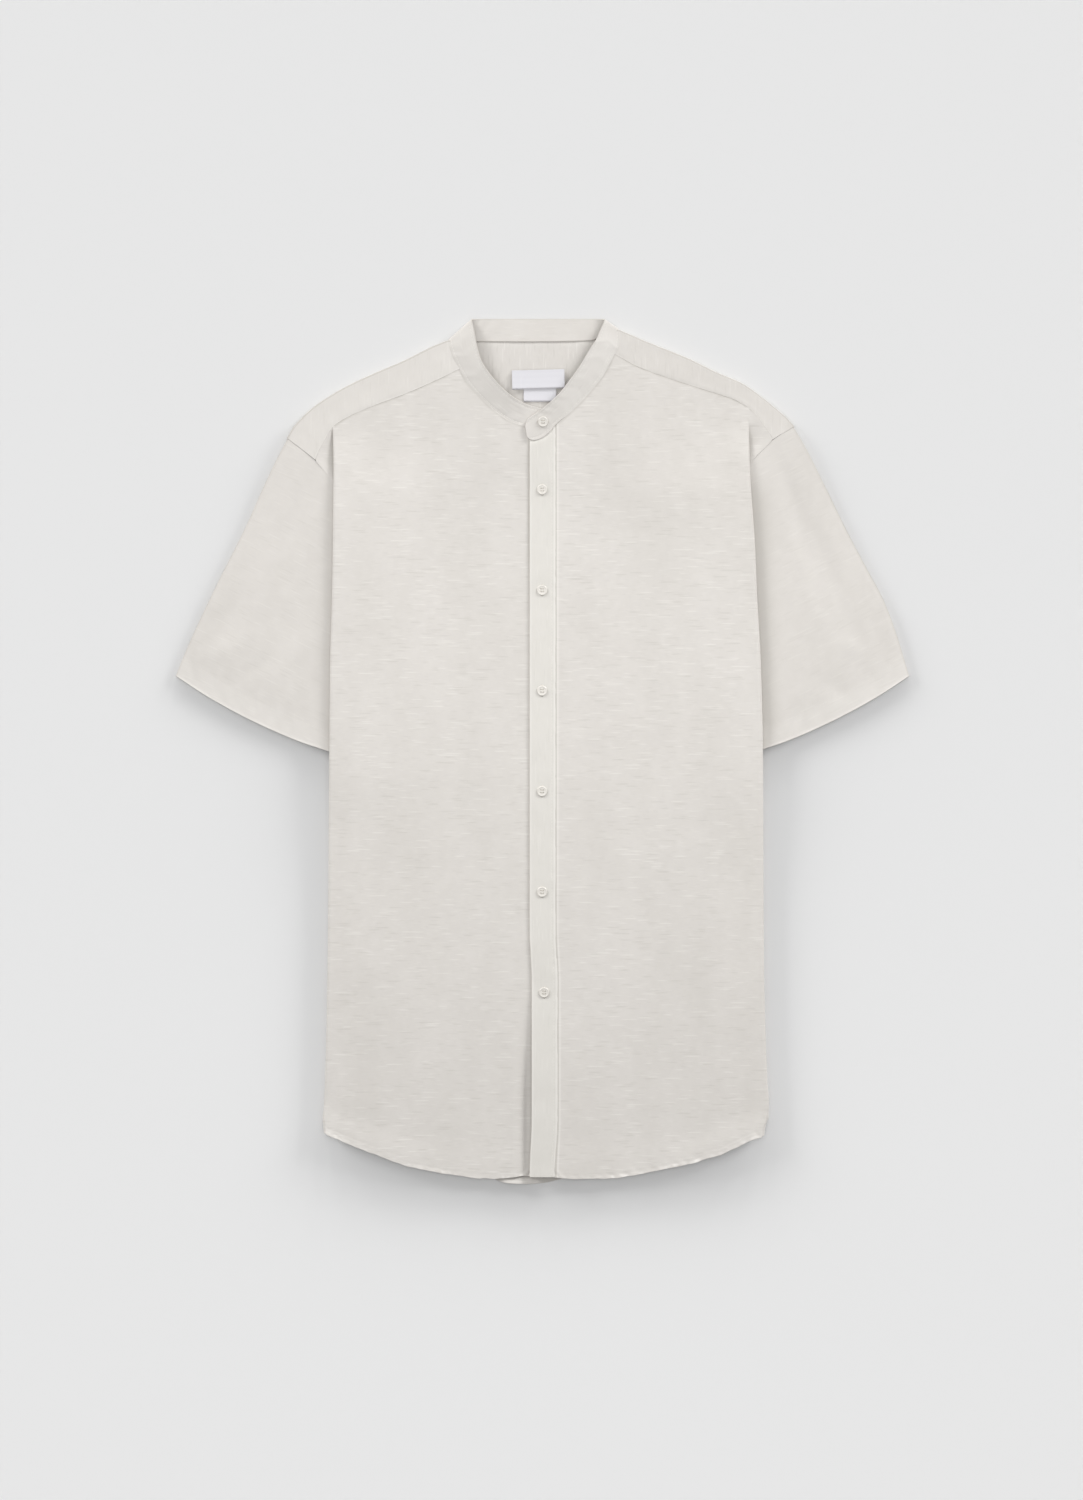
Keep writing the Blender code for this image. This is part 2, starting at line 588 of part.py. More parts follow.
def make_inner_yoke(scene, finish):
    """The inner yoke, a second ply inside the back that shows in the neck, up to the band's seam."""
    outs = {
        "right": np.array((150, 130, 108, 92, 78)) * MM,
        "left": np.array((150, 130, 108, 88, 72)) * MM,
    }
    columns = []
    for side, sign in SIDES.items():
        line = np.array(SHOULDER_LINE[side]) * MM
        tops = through(outs[side], line[:, 0], line[:, 1]) - 10 * MM
        pairs = [(sign * out, top) for out, top in zip(outs[side], tops)]
        columns.append(pairs if side == "right" else pairs[::-1])
    middle = [(x * MM, 380.3 * MM) for x in (-66, -44, -22, 0, 22, 42)] + [(56 * MM, 381.0 * MM)]
    tops = np.array(columns[0] + middle + columns[1])
    share = np.linspace(0, 1, 5)[None]
    foot = BACK_YOKE_SEAM + 3 * MM
    heights = foot + (tops[:, 1:] - foot) * share
    points = grid(tops[:, :1], heights, INNER_YOKE)
    return cloth_wall("yoke_inner", points, CLOTH, scene, finish)


def sleeve_levels(out, height, side, share):
    """Levels of a sleeve's front and back: between the layers of the tuck, and on the surface outside it."""
    held = outer_share(out, height, side)
    sink = tuck_sink(out, height, side)
    start = 1 - smooth(share / 0.35)
    front_outside = SLEEVE_FRONT_OUTSIDE + (SLEEVE_FRONT_IN_TUCK - SLEEVE_FRONT_OUTSIDE) * start
    front = front_outside + (SLEEVE_FRONT_IN_TUCK - front_outside) * held - 1.0 * MM * sink
    rise = smooth((300 * MM - height) / (30 * MM))
    back = FLOOR_LAYER + (SLEEVE_BACK_IN_TUCK - FLOOR_LAYER) * held * rise - 0.7 * MM * sink
    return front, back


def make_sleeve(side, scene, finish):
    """A sleeve: a flattened tube from the armhole seam to its hem, its lower edge inside the tuck."""
    sign = SIDES[side]
    across = np.linspace(0, 1, 12)
    down = np.linspace(0, 1, 12)
    cap = along(np.array(ARMHOLE_SEAM[side]) * MM, across) + (SEAM_GAP, -SEAM_GAP)
    hem = along(np.array(SLEEVE_HEM) * MM, across)
    outer = along(np.array(SLEEVE_OUTER_EDGE[side]) * MM, down) - (SLEEVE_INSET, 0)
    lower = cap[-1] + (hem[-1] - cap[-1]) * down[:, None]
    outer[0] = cap[0] = cap[0] - (SLEEVE_INSET * 0.6, 0.6 * MM)
    hem[0] = outer[-1]
    plan = patch(cap, hem, outer, lower, across, down)
    front, back = sleeve_levels(plan[..., 0], plan[..., 1], side, down[None])
    turn = np.linspace(0, 1, 6)[1:-1] * math.pi

    def fold(edge, next_in, high, low):
        """The half turn from one layer to the other, round one edge of the sleeve."""
        way = plan[edge] - plan[next_in]
        way /= np.linalg.norm(way, axis=1)[:, None]
        bulge = np.minimum(SLEEVE_EDGE_BULGE, (high - low) / 2)
        at = plan[edge][None] + (bulge[:, None] * way)[None] * np.sin(turn)[:, None, None]
        level = (high + low)[None] / 2 + (high - low)[None] / 2 * np.cos(turn)[:, None]
        return np.concatenate((at, level[..., None]), axis=-1)

    front_side = np.concatenate((plan, front[..., None]), axis=-1)
    back_side = np.concatenate((plan, back[..., None]), axis=-1)[::-1]
    inner_turn = fold(-1, -2, front[-1], back[-1])
    outer_turn = fold(0, 1, front[0], back[0])[::-1]
    points = np.concatenate((front_side, inner_turn, back_side, outer_turn))
    points[..., 0] *= sign
    return cloth_wall(f"sleeve_{side}", points, CLOTH, scene, finish, ring=True)


def make_placket(scene, finish):
    """The button placket: a folded strip down the edge of the left front, from the collar tab to the hem."""
    shares = np.linspace(0, 1, 30)
    across = np.linspace(-PLACKET_WIDTH / 2, PLACKET_WIDTH / 2, 6)
    tab = np.array(TAB_SEAM) * MM
    top = through(across, tab[:, 0], tab[:, 1]) - SEAM_GAP
    height = top[None] + (PLACKET_BOTTOM - top[None]) * shares[:, None]
    x = across[None] + placket_lean(height)
    edge = smooth(-across[None] / (PLACKET_WIDTH / 2)) * 0.5 * MM * smooth((-190 * MM - height) / (130 * MM))
    points = grid(x, height, placket_level(height) + edge)
    return cloth_wall("placket", points, FOLDED_BAND, scene, finish)


def band_point(section, up):
    """A point of the collar band. section is a share of its length, up runs from its seam to its free edge."""
    across_seam = COLLAR_BAND[:, :3]
    free_edge = COLLAR_BAND[:, 3:]
    count = np.arange(len(COLLAR_BAND))
    at = np.asarray(section) * (len(COLLAR_BAND) - 1)
    seam = np.stack([through(at, count, across_seam[:, k]) for k in range(3)], axis=-1)
    edge = np.stack([through(at, count, free_edge[:, k]) for k in range(3)], axis=-1)
    return seam + (edge - seam) * np.asarray(up)[..., None]


def make_band(scene, finish):
    """The collar band: a strip round the neck whose left end is a rounded tab over the right end."""
    up = np.linspace(0, 1, 6)
    sections = np.concatenate((np.linspace(0, 0.97, 62), (0.985, 1.0)))
    height = 21 * MM
    from_edge = np.minimum(up, 1 - up) * height
    cut = TAB_CORNER - np.sqrt(TAB_CORNER**2 - np.maximum(TAB_CORNER - from_edge, 0) ** 2)
    last_section = 10 * MM * (len(COLLAR_BAND) - 1)
    end = 1 - cut / last_section
    near_end = smooth((sections - 0.9) / 0.1)
    section = sections[:, None] * (1 - near_end[:, None] * (1 - end[None]))
    points = band_point(section, np.broadcast_to(up, section.shape))
    return cloth_wall("collar_band", points, FOLDED_BAND, scene, finish)


def make_label(name, size, place, turn, scene, finish):
    """A blank woven label, a plain flat tab."""
    bpy.ops.mesh.primitive_cube_add(size=1)
    made = bpy.context.object
    made.name = name
    made.scale = (size[0], size[1], LABEL)
    bpy.ops.object.transform_apply(location=False, rotation=False, scale=True)
    made.location = place
    made.rotation_euler = (0, 0, turn)
    for holder in list(made.users_collection):
        holder.objects.unlink(made)
    scene[0].objects.link(made)
    made.data.materials.append(finish)
    made.parent = scene[1]
    return made


def button_mesh(cutters, finish):
    """A four-hole button: a turned disc with a raised rim, its holes cut through."""
    radius = BUTTON_WIDTH / 2
    profile = (
        (0.0, BUTTON_HEIGHT - 0.6 * MM),
        (radius - 2 * BUTTON_RIM - 0.5 * MM, BUTTON_HEIGHT - 0.6 * MM),
        (radius - 2 * BUTTON_RIM, BUTTON_HEIGHT - 0.1 * MM),
        (radius - BUTTON_RIM, BUTTON_HEIGHT),
        (radius, BUTTON_HEIGHT - 0.6 * MM),
        (radius - 0.3 * MM, 0.5 * MM),
        (radius - 1.4 * MM, 0.0),
        (0.0, 0.0),
    )
    mesh = bpy.data.meshes.new("button_profile")
    edges = [(i, i + 1) for i in range(len(profile) - 1)]
    mesh.from_pydata([(x, 0.0, z) for x, z in profile], edges, [])
    blank = bpy.data.objects.new("button_blank", mesh)
    cutters.objects.link(blank)
    turned = blank.modifiers.new("turned", "SCREW")
    turned.steps = turned.render_steps = 12
    turned.use_merge_vertices = True
    turned.merge_threshold = 0.00001
    for i in range(4):
        angle = math.radians(45 + 90 * i)
        bpy.ops.mesh.primitive_cylinder_add(
            vertices=6,
            radius=BUTTON_HOLE / 2,
            depth=4 * BUTTON_HEIGHT,
            location=(BUTTON_HOLE_SPREAD * math.cos(angle), BUTTON_HOLE_SPREAD * math.sin(angle), 0),
        )
        drill = bpy.context.object
        drill.name = f"button_drill_{i}"
        for holder in list(drill.users_collection):
            holder.objects.unlink(drill)
        cutters.objects.link(drill)
        drill.hide_render = True
        drill.display_type = "WIRE"
        hole = blank.modifiers.new(f"hole_{i}", "BOOLEAN")
        hole.operation = "DIFFERENCE"
        hole.object = drill
    bpy.context.view_layer.update()
    graph = bpy.context.evaluated_depsgraph_get()
    button = bpy.data.meshes.new_from_object(blank.evaluated_get(graph))
    button.name = "button"
    button.materials.clear()
    button.materials.append(finish)
    bpy.data.objects.remove(blank)
    return button


def place_button(name, mesh, point, normal, clear, scene):
    made = bpy.data.objects.new(name, mesh)
    scene[0].objects.link(made)
    made.parent = scene[1]
    made.location = Vector(point) + Vector(normal) * clear
    made.rotation_euler = Vector(normal).to_track_quat("Z", "Y").to_euler()
    return made


def make_buttons(scene, cutters, finish):
    """One button on the collar tab and six down the placket."""
    mesh = button_mesh(cutters, finish)
    clear = FOLDED_BAND / 2 + SEAM_GAP
    share = 25.05 / (len(COLLAR_BAND) - 1)
    middle = band_point(share, 0.52)
    along_band = band_point(share + 0.005, 0.52) - band_point(share - 0.005, 0.52)
    up_band = band_point(share, 0.62) - band_point(share, 0.42)
    normal = Vector(np.cross(up_band, along_band)).normalized()
    if normal.z < 0:
        normal.negate()
    point = (COLLAR_BUTTON[0], COLLAR_BUTTON[1], middle[2] + 0.25 * MM)
    place_button("button_collar", mesh, point, normal, clear, scene)
    for i in range(BUTTONS_ON_PLACKET):
        height = BUTTON_FIRST - i * BUTTON_STEP
        x = float(placket_lean(height)) - 0.4 * MM
        level = float(placket_level(height))
        place_button(f"button_{i + 1}", mesh, (x, height, level), (0, 0, 1), clear, scene)


def main():
    for old in list(bpy.data.objects):
        bpy.data.objects.remove(old)
    collection = bpy.data.collections.new("mandarin_collar_shirt")
    cutters = bpy.data.collections.new("cutters")
    bpy.context.scene.collection.children.link(collection)
    bpy.context.scene.collection.children.link(cutters)
    shirt = bpy.data.objects.new("shirt", None)
    collection.objects.link(shirt)
    scene = (collection, shirt)

    cloth = material("slub_linen", CLOTH_COLOUR, 0.85)
    strip = material("placket_linen", PLACKET_COLOUR, 0.85)
    shell = material("button_resin", BUTTON_COLOUR, 0.35)
    satin = material("label_satin", LABEL_COLOUR, 0.55)

    make_back(scene, cloth)
    make_yoke(scene, cloth)
    make_inner_yoke(scene, cloth)
    for side in SIDES:
        make_sleeve(side, scene, cloth)
        make_front(side, scene, cloth)
    make_placket(scene, strip)
    make_band(scene, cloth)
    make_label("neck_label", NECK_LABEL_SIZE, NECK_LABEL_AT, NECK_LABEL_TURN, scene, satin)
    make_label("fit_label", FIT_LABEL_SIZE, FIT_LABEL_AT, 0.0, scene, satin)
    make_buttons(scene, cutters, shell)


main()
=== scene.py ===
"""A short-sleeved shirt with a mandarin collar, in slub linen and cotton, laid flat on its back.

X runs across towards the wearer's left, Y runs up towards the collar and Z rises from the surface it lies on.
Lengths are in metres: tables are written in millimetres and multiplied by MM once. "Out" is the distance from
the centre line towards a side, on either side. "right" and "left" are the wearer's.
"""

import math

import bpy
import numpy as np
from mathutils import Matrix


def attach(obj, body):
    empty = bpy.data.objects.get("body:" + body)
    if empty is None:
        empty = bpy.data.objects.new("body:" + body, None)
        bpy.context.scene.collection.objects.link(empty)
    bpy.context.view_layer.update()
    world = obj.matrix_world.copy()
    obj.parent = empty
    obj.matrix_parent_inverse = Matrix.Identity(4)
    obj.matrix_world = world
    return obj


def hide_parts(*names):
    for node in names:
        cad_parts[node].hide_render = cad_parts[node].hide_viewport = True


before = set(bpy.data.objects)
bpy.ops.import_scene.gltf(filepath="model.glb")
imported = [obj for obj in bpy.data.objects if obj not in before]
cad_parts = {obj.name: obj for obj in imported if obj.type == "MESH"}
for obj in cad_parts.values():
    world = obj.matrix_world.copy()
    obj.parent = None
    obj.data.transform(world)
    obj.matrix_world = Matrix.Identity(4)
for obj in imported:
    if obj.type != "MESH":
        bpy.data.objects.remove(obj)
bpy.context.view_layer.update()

MM = 0.001
SIDES = {"right": -1, "left": 1}
scene = bpy.context.scene

# ----------------------------------------------------------
# Camera. Straight above the shirt, and so far off that cloth lying a centimetre higher hardly looks larger.
# Its frame, 1083 wide by 1500 high, takes in 1395 mm of the floor from top to bottom.
# ----------------------------------------------------------
LENS = 100.0
SENSOR = 36.0
FRAME_HEIGHT = 1395 * MM
CAMERA_OVER = (-0.93 * MM, 0.93 * MM)

camera_data = bpy.data.cameras.new("camera")
camera_data.lens = LENS
camera_data.sensor_width = SENSOR
camera = bpy.data.objects.new("camera", camera_data)
camera.location = (*CAMERA_OVER, FRAME_HEIGHT * LENS / SENSOR)
scene.collection.objects.link(camera)
scene.camera = camera
scene.view_settings.view_transform = "Standard"

# ----------------------------------------------------------
# Studio. A matt pale floor under an even bright dome. Six low soft lamps in a fan past the collar and a wide
# one overhead are flagged for the floor alone, and lay the long faint shadows below the hem and the sleeves.
# Two higher lamps, a wide one overhead and a soft strip over the chest are flagged for the shirt.
# ----------------------------------------------------------
FLOOR_SIZE = 16.0
FLOOR_COLOUR = "#E2E2E2"
FLOOR_CLOUD = "#E1E1E1"
DOME = 0.42
STRIP_AT = (0.10, 0.17, 0.50)
STRIP_SIZE = (1.4, 0.5)
STRIP_POWER = 1.45
SOFT_LAMPS = (  # name, what it lights, degrees from +Y towards +X, height and width in degrees, strength
    ("floor_lamp_far_right", "ground", -53.0, 9.5, 18.0, 2.42),
    ("floor_lamp_mid_right", "ground", -33.0, 6.0, 10.0, 1.34),
    ("floor_lamp_near_right", "ground", -11.0, 6.0, 10.0, 1.34),
    ("floor_lamp_near_left", "ground", 11.0, 6.0, 10.0, 1.34),
    ("floor_lamp_mid_left", "ground", 33.0, 6.0, 10.0, 1.34),
    ("floor_lamp_far_left", "ground", 53.0, 9.5, 18.0, 2.42),
    ("floor_lamp_top", "ground", 0.0, 90.0, 60.0, 0.633),
    ("shirt_lamp_top", "shirt", 0.0, 90.0, 60.0, 0.32),
    ("shirt_lamp_right", "shirt", -45.0, 20.0, 18.0, 1.80),
    ("shirt_lamp_left", "shirt", 45.0, 20.0, 18.0, 2.05),
)


def hex_colour(code):
    """A colour such as #E2DED6 as linear: c / 12.92 up to 0.04045, and ((c + 0.055) / 1.055)^2.4 above."""
    shares = [int(code[i : i + 2], 16) / 255 for i in (1, 3, 5)]
    return (*[c / 12.92 if c <= 0.04045 else ((c + 0.055) / 1.055) ** 2.4 for c in shares], 1.0)


def plug(tree, node, inputs):
    """Gives each of a node's sockets its value, or links it to the output given for it."""
    for socket, value in inputs.items() if isinstance(inputs, dict) else enumerate(inputs):
        if isinstance(value, bpy.types.NodeSocket):
            tree.links.new(value, node.inputs[socket])
        else:
            node.inputs[socket].default_value = value


def add_node(tree, kind, inputs=(), **settings):
    """Adds a node with its settings and inputs, and returns its first output."""
    made = tree.nodes.new("ShaderNode" + kind)
    for name, value in settings.items():
        setattr(made, name, value)
    plug(tree, made, inputs)
    return next(output for output in made.outputs if output.enabled)


def new_finish(name):
    """A new material, its tree of nodes and its shader."""
    made = bpy.data.materials.new(name)
    made.use_nodes = True
    return made, made.node_tree, made.node_tree.nodes["Principled BSDF"]


def painted_floor():
    """Matt emulsion paint on board. It gives an even pale ground with only a breath of unevenness."""
    made, tree, shader = new_finish("matt_floor_paint")
    at = add_node(tree, "TexCoord").node.outputs["Object"]
    cloudy = add_node(tree, "TexNoise", {"Vector": at, "Scale": 1.5, "Detail": 2.0})
    shades = {0: cloudy, 6: hex_colour(FLOOR_CLOUD), 7: hex_colour(FLOOR_COLOUR)}
    mixed = add_node(tree, "Mix", shades, data_type="RGBA")
    plug(tree, shader, {"Base Color": mixed, "Roughness": 0.95, "Specular IOR Level": 0.0})
    return made


half = FLOOR_SIZE / 2
floor_mesh = bpy.data.meshes.new("floor")
floor_corners = [(-half, -half, 0), (half, -half, 0), (half, half, 0), (-half, half, 0)]
floor_mesh.from_pydata(floor_corners, [], [(0, 1, 2, 3)])
floor_mesh.materials.append(painted_floor())
floor = bpy.data.objects.new("floor", floor_mesh)
scene.collection.objects.link(floor)

dome = bpy.data.worlds.new("dome")
dome.use_nodes = True
dome.node_tree.nodes["Background"].inputs["Color"].default_value = (1, 1, 1, 1)
dome.node_tree.nodes["Background"].inputs["Strength"].default_value = DOME
scene.world = dome

reached = {"shirt": bpy.data.collections.new("shirt"), "ground": bpy.data.collections.new("ground")}
shirt = reached["shirt"]
scene.collection.children.link(shirt)
reached["ground"].objects.link(floor)
for name, reaches, around, height, width, strength in SOFT_LAMPS:
    lamp_data = bpy.data.lights.new(name, "SUN")
    lamp_data.energy = strength
    lamp_data.angle = math.radians(width)
    lamp = bpy.data.objects.new(name, lamp_data)
    lamp.rotation_euler = (math.radians(height - 90), 0, math.radians(-around))
    lamp.light_linking.receiver_collection = reached[reaches]
    scene.collection.objects.link(lamp)

strip_data = bpy.data.lights.new("strip_lamp", "AREA")
strip_data.shape = "RECTANGLE"
strip_data.size, strip_data.size_y = STRIP_SIZE
strip_data.energy = STRIP_POWER
strip = bpy.data.objects.new("strip_lamp", strip_data)
strip.location = STRIP_AT
strip.visible_camera = False
strip.light_linking.receiver_collection = shirt
scene.collection.objects.link(strip)

# ----------------------------------------------------------
# Back panel. One layer of slub linen and cotton with a shirt-tail hem, lying on the surface, with both side
# parts folded up and tucked in over it. Its hem is turned twice and stitched, and shows below the front's.
# ----------------------------------------------------------
CLOTH = 0.8 * MM
HEM = 1.3 * MM  # three plies, pressed
HEM_WIDTH = 6.0 * MM
SEAM_GAP = 0.2 * MM
BACK_TUCK = 2.5 * MM
BACK_HEM_BOTTOM = -395.2 * MM
# How much lower it hangs than that curve: across, by how much
BACK_HEM_DIP = MM * np.array((
    (-70, 0), (-52, 1.0), (-46, 3.6), (-41, 6.2), (-30, 7.4), (-12, 7.2), (-2, 6.4), (8, 4.9), (16, 3.0),
    (26, 1.0), (44, 0),
))
BACK_HEM_LIFT = (4.4 * MM, -28 * MM, 15 * MM)  # how far its edge curls up, round where, over what half width
BACK_HEM_RISE = 50 * MM
BACK_HEM_SPAN = 203 * MM
BACK_YOKE_SEAM = 262 * MM
BACK_SPREAD = 8.5 * MM  # how much wider it lies at its yoke seam, over this height
BACK_SPREAD_OVER = 32 * MM
BACK_FOLD_BULGE = 1.0 * MM
BACK_TUCK_SETTLES = 0.6 * MM
BACK_HEM_SPARE = 7.6 * MM  # what the deepest of its dip adds to its length
BACK_HEM_STITCHES_UP = 5 * MM
BACK_HEM_STITCHED = slice(32, -32)  # the columns that don't lie in the tucks
TUCK_DEPTH = 78 * MM
EDGE_ROUND = 0.45  # how far a wall's edge rounds out, as a share of half its thickness
SHARP_FROM = math.radians(48)  # an edge that turns by more than this stays crisp
# Where the body folds at each side: height, out on the right, out on the left
SIDE_FOLD = MM * np.array((
    (318, 196.0, 191.5), (262, 194.2, 192.8), (196, 194.6, 197.2), (140, 195.6, 199.6),
    (85, 197.2, 202.6), (5, 197.9, 204.6), (-195, 199.6, 205.8), (-306, 202.0, 208.8),
    (-330, 203.0, 210.3), (-342, 204.2, 209.7), (-348, 203.8, 207.8), (-355, 202.9, 206.0),
    (-360, 202.6, 205.6),
))
# The tuck under each side fold: height, how far in it runs, levels of the front over it and its front layer
TUCK = MM * np.array((
    (262, 5, 9.8, 7.1), (240, 7, 10.8, 7.3), (210, 20, 11.3, 7.3), (180, 37, 11.3, 7.3),
    (150, 54, 11.3, 7.3), (120, 68, 11.3, 7.3), (85, 78, 11.3, 7.3), (-20, 78, 10.8, 7.1),
    (-75, 78, 9.0, 5.4), (-130, 78, 8.0, 4.4), (-400, 78, 7.7, 4.3),
))
# Shallow creases pressed into the back: across, height, half width, half length, turn in degrees, lift
BACK_CREASES = (
    (-96, 40, 5.0, 120, 8, 0.34), (70, -60, 6.0, 150, -6, 0.38), (-30, -210, 5.0, 90, 14, 0.30),
    (128, -250, 6.5, 70, 30, 0.32), (-142, -170, 5.5, 60, -24, 0.30), (22, 190, 6.0, 70, 80, 0.28),
    (-60, 150, 4.5, 50, 64, 0.24),
)

GROUND = "#D2CEC9"  # undyed linen with cotton, washed
SLUB_LIGHT = "#E6E3DE"
SLUB_DARK = "#BAB6AF"
YARN = 1.6 * MM  # thick weft yarns: 0.5 mm in the cloth, and drawn this coarse to show
WEAVE = 0.9 * MM  # plain weave: 0.45 mm from thread to thread, and drawn twice as coarse


def slub_linen(name, ground, contrast, dark):
    """Plain-woven slub linen and cotton, washed and matt: uneven weft yarns give short pale and dark dashes.

    For each weft yarn, numbered floor(v / YARN) once v has wandered a little, a 1D noise along u that starts
    at a random place says where it thickens. A dash is where that noise is high, times
    1 - (2 fract(v / YARN) - 1)^2 across the yarn. U and V are metres on the flat cloth, the weft along U.
    Where the points' painted light attribute is above 0 the cloth is painted paler, below 0 painted darker.
    """
    made, tree, shader = new_finish(name)
    flat = add_node(tree, "UVMap", uv_map="flat")
    colour = hex_colour(ground)
    height = 0.0
    slowly = (1 / 0.055, 1 / 0.021, 0)  # how the yarns wander: 55 mm along them and 21 mm across
    # dash: yarns apart, its length, wander, low and high end of the noise, how strong, its colour, its height
    dashes = (
        (YARN, 29 * MM, 2.2 * MM, 0.58, 0.80, 0.44, SLUB_LIGHT, 1.0),
        (YARN * 1.15, 26 * MM, 3.1 * MM, 0.56, 0.80, 0.36, dark, -0.8),
        (YARN * 0.8, 9 * MM, 1.4 * MM, 0.50, 0.90, 0.20, SLUB_LIGHT, 0.4),
        (YARN * 0.9, 10 * MM, 1.8 * MM, 0.50, 0.90, 0.18, dark, -0.3),
    )
    for number, (apart, length, wander, low, high, strong, tint, rise) in enumerate(dashes):
        offset = (17.3 * number, 5.1 * number, 0.0)
        slow = add_node(tree, "VectorMath", (flat, slowly, offset), operation="MULTIPLY_ADD")
        drift = add_node(tree, "TexNoise", {"Vector": slow, "Scale": 1.0, "Detail": 1.0},
                         noise_dimensions="2D")
        apart_v = add_node(tree, "SeparateXYZ", (flat,)).node
        moved = add_node(tree, "Math", (drift, wander, apart_v.outputs["Y"]), operation="MULTIPLY_ADD")
        yarn = add_node(tree, "Math", (moved, 1 / apart, 31.7 * number), operation="MULTIPLY_ADD")
        row = add_node(tree, "Math", (yarn,), operation="FLOOR")
        start = add_node(tree, "TexWhiteNoise", {"W": row}, noise_dimensions="1D")
        begun = add_node(tree, "Math", (start, 997.0), operation="MULTIPLY")
        along = add_node(tree, "Math", (apart_v.outputs["X"], 1 / length, begun), operation="MULTIPLY_ADD")
        thick = add_node(tree, "TexNoise", {"W": along, "Scale": 1.0, "Detail": 1.0}, noise_dimensions="1D")
        dash = add_node(tree, "MapRange", (thick, low, high, 0.0, 1.0), interpolation_type="SMOOTHSTEP")
        share = add_node(tree, "Math", (yarn,), operation="FRACT")
        centred = add_node(tree, "Math", (share, 2.0, -1.0), operation="MULTIPLY_ADD")
        square = add_node(tree, "Math", (centred, centred), operation="MULTIPLY")
        across = add_node(tree, "Math", (1.0, square), operation="SUBTRACT")
        drawn = add_node(tree, "Math", (dash, across), operation="MULTIPLY")
        mixed = add_node(tree, "Math", (drawn, strong * contrast), operation="MULTIPLY")
        colour = add_node(tree, "Mix", {0: mixed, 6: colour, 7: hex_colour(tint)}, data_type="RGBA")
        height = add_node(tree, "Math", (drawn, rise, height), operation="MULTIPLY_ADD")
    # washed unevenness, in bands 45 mm wide along the warp and 12 mm across, then the painted light and shade
    banded = add_node(tree, "VectorMath", (flat, (1 / 0.045, 1 / 0.15, 0)), operation="MULTIPLY")
    broad = add_node(tree, "TexNoise", {"Vector": banded, "Scale": 1.0, "Detail": 1.0}, noise_dimensions="2D")
    small = add_node(tree, "TexNoise", {"Vector": flat, "Scale": 1 / 0.012, "Detail": 2.0},
                     noise_dimensions="2D")
    painted_light = add_node(tree, "Attribute", attribute_name="painted_light").node.outputs["Fac"]
    shades = (  # what is read, from where, to where, how strong, its colour
        (broad, 0.3, 0.75, 0.18, dark),
        (small, 0.4, 0.75, 0.09, SLUB_LIGHT),
        (painted_light, 0.0, 1.0, 1.0, SLUB_LIGHT),
        (painted_light, 0.0, -1.0, 1.0, dark),
    )
    for read, low, high, strong, tint in shades:
        share = add_node(tree, "MapRange", (read, low, high, 0.0, strong))
        colour = add_node(tree, "Mix", {0: share, 6: colour, 7: hex_colour(tint)}, data_type="RGBA")
    # plain weave: sin(2 pi u / WEAVE) x sin(2 pi v / WEAVE)
    turned = add_node(tree, "VectorMath", (flat, (2 * math.pi / WEAVE,) * 3), operation="MULTIPLY")
    parts = add_node(tree, "SeparateXYZ", (turned,)).node
    warp = add_node(tree, "Math", (parts.outputs["X"],), operation="SINE")
    weft = add_node(tree, "Math", (parts.outputs["Y"],), operation="SINE")
    woven = add_node(tree, "Math", (warp, weft), operation="MULTIPLY")
    height = add_node(tree, "Math", (woven, 0.35, height), operation="MULTIPLY_ADD")
    bump = add_node(tree, "Bump", {"Strength": 1.0, "Distance": 0.022 * MM, "Height": height})
    plug(tree, shader, {"Base Color": colour, "Normal": bump, "Roughness": 0.88, "Specular IOR Level": 0.22,
                        "Sheen Weight": 0.12, "Sheen Roughness": 0.45})
    return made


def smooth(share):
    """3 s^2 - 2 s^3: 0 below 0, 1 above 1, and an S between."""
    share = np.clip(share, 0.0, 1.0)
    return share * share * (3 - 2 * share)


def through(at, xs, ys):
    """The smooth curve through a table: a cubic between rows, its slopes the harmonic mean of both sides'."""
    xs = np.asarray(xs, float)
    ys = np.asarray(ys, float)
    if xs[0] > xs[-1]:
        xs = xs[::-1]
        ys = ys[::-1]
    step = np.diff(xs)
    rise = np.diff(ys) / step
    same_way = rise[:-1] * rise[1:] > 0
    mean = 2 * rise[:-1] * rise[1:] / np.where(same_way, rise[:-1] + rise[1:], 1)
    slope = np.concatenate(([rise[0]], np.where(same_way, mean, 0), [rise[-1]]))
    at = np.clip(at, xs[0], xs[-1])
    i = np.clip(np.searchsorted(xs, at) - 1, 0, len(xs) - 2)
    t = (at - xs[i]) / step[i]
    start = ys[i] * (1 + 2 * t) * (1 - t) ** 2 + slope[i] * step[i] * t * (1 - t) ** 2
    end = ys[i + 1] * t * t * (3 - 2 * t) - slope[i + 1] * step[i] * t * t * (1 - t)
    return start + end


def steps(*stretches):
    """Places along a line, as (end, spacing) stretches from 0: close together where the cloth is fine."""
    places = [np.zeros(1)]
    for end, spacing in stretches:
        begin = places[-1][-1]
        count = max(int(round((end - begin) / spacing)), 1)
        places.append(np.linspace(begin, end, count + 1)[1:])
    return np.concatenate(places)


def bell(distance, half_width):
    """exp(-(d / w)^2), a soft ridge or trough round distance 0."""
    return np.exp(-((distance / half_width) ** 2))


def unit(rows):
    """Each row over its own length."""
    return rows / np.maximum(np.linalg.norm(rows, axis=-1, keepdims=True), 1e-12)


def ridge(distance, at, half_width):
    """bell round a distance: exp(-((d - at) / w)^2), with at and w in millimetres."""
    return bell(distance - at * MM, half_width * MM)


def rising(distance, start, over):
    """smooth((d - start) / over), in millimetres: 0 up to start, and 1 from start + over on."""
    return smooth((distance - start * MM) / (over * MM))


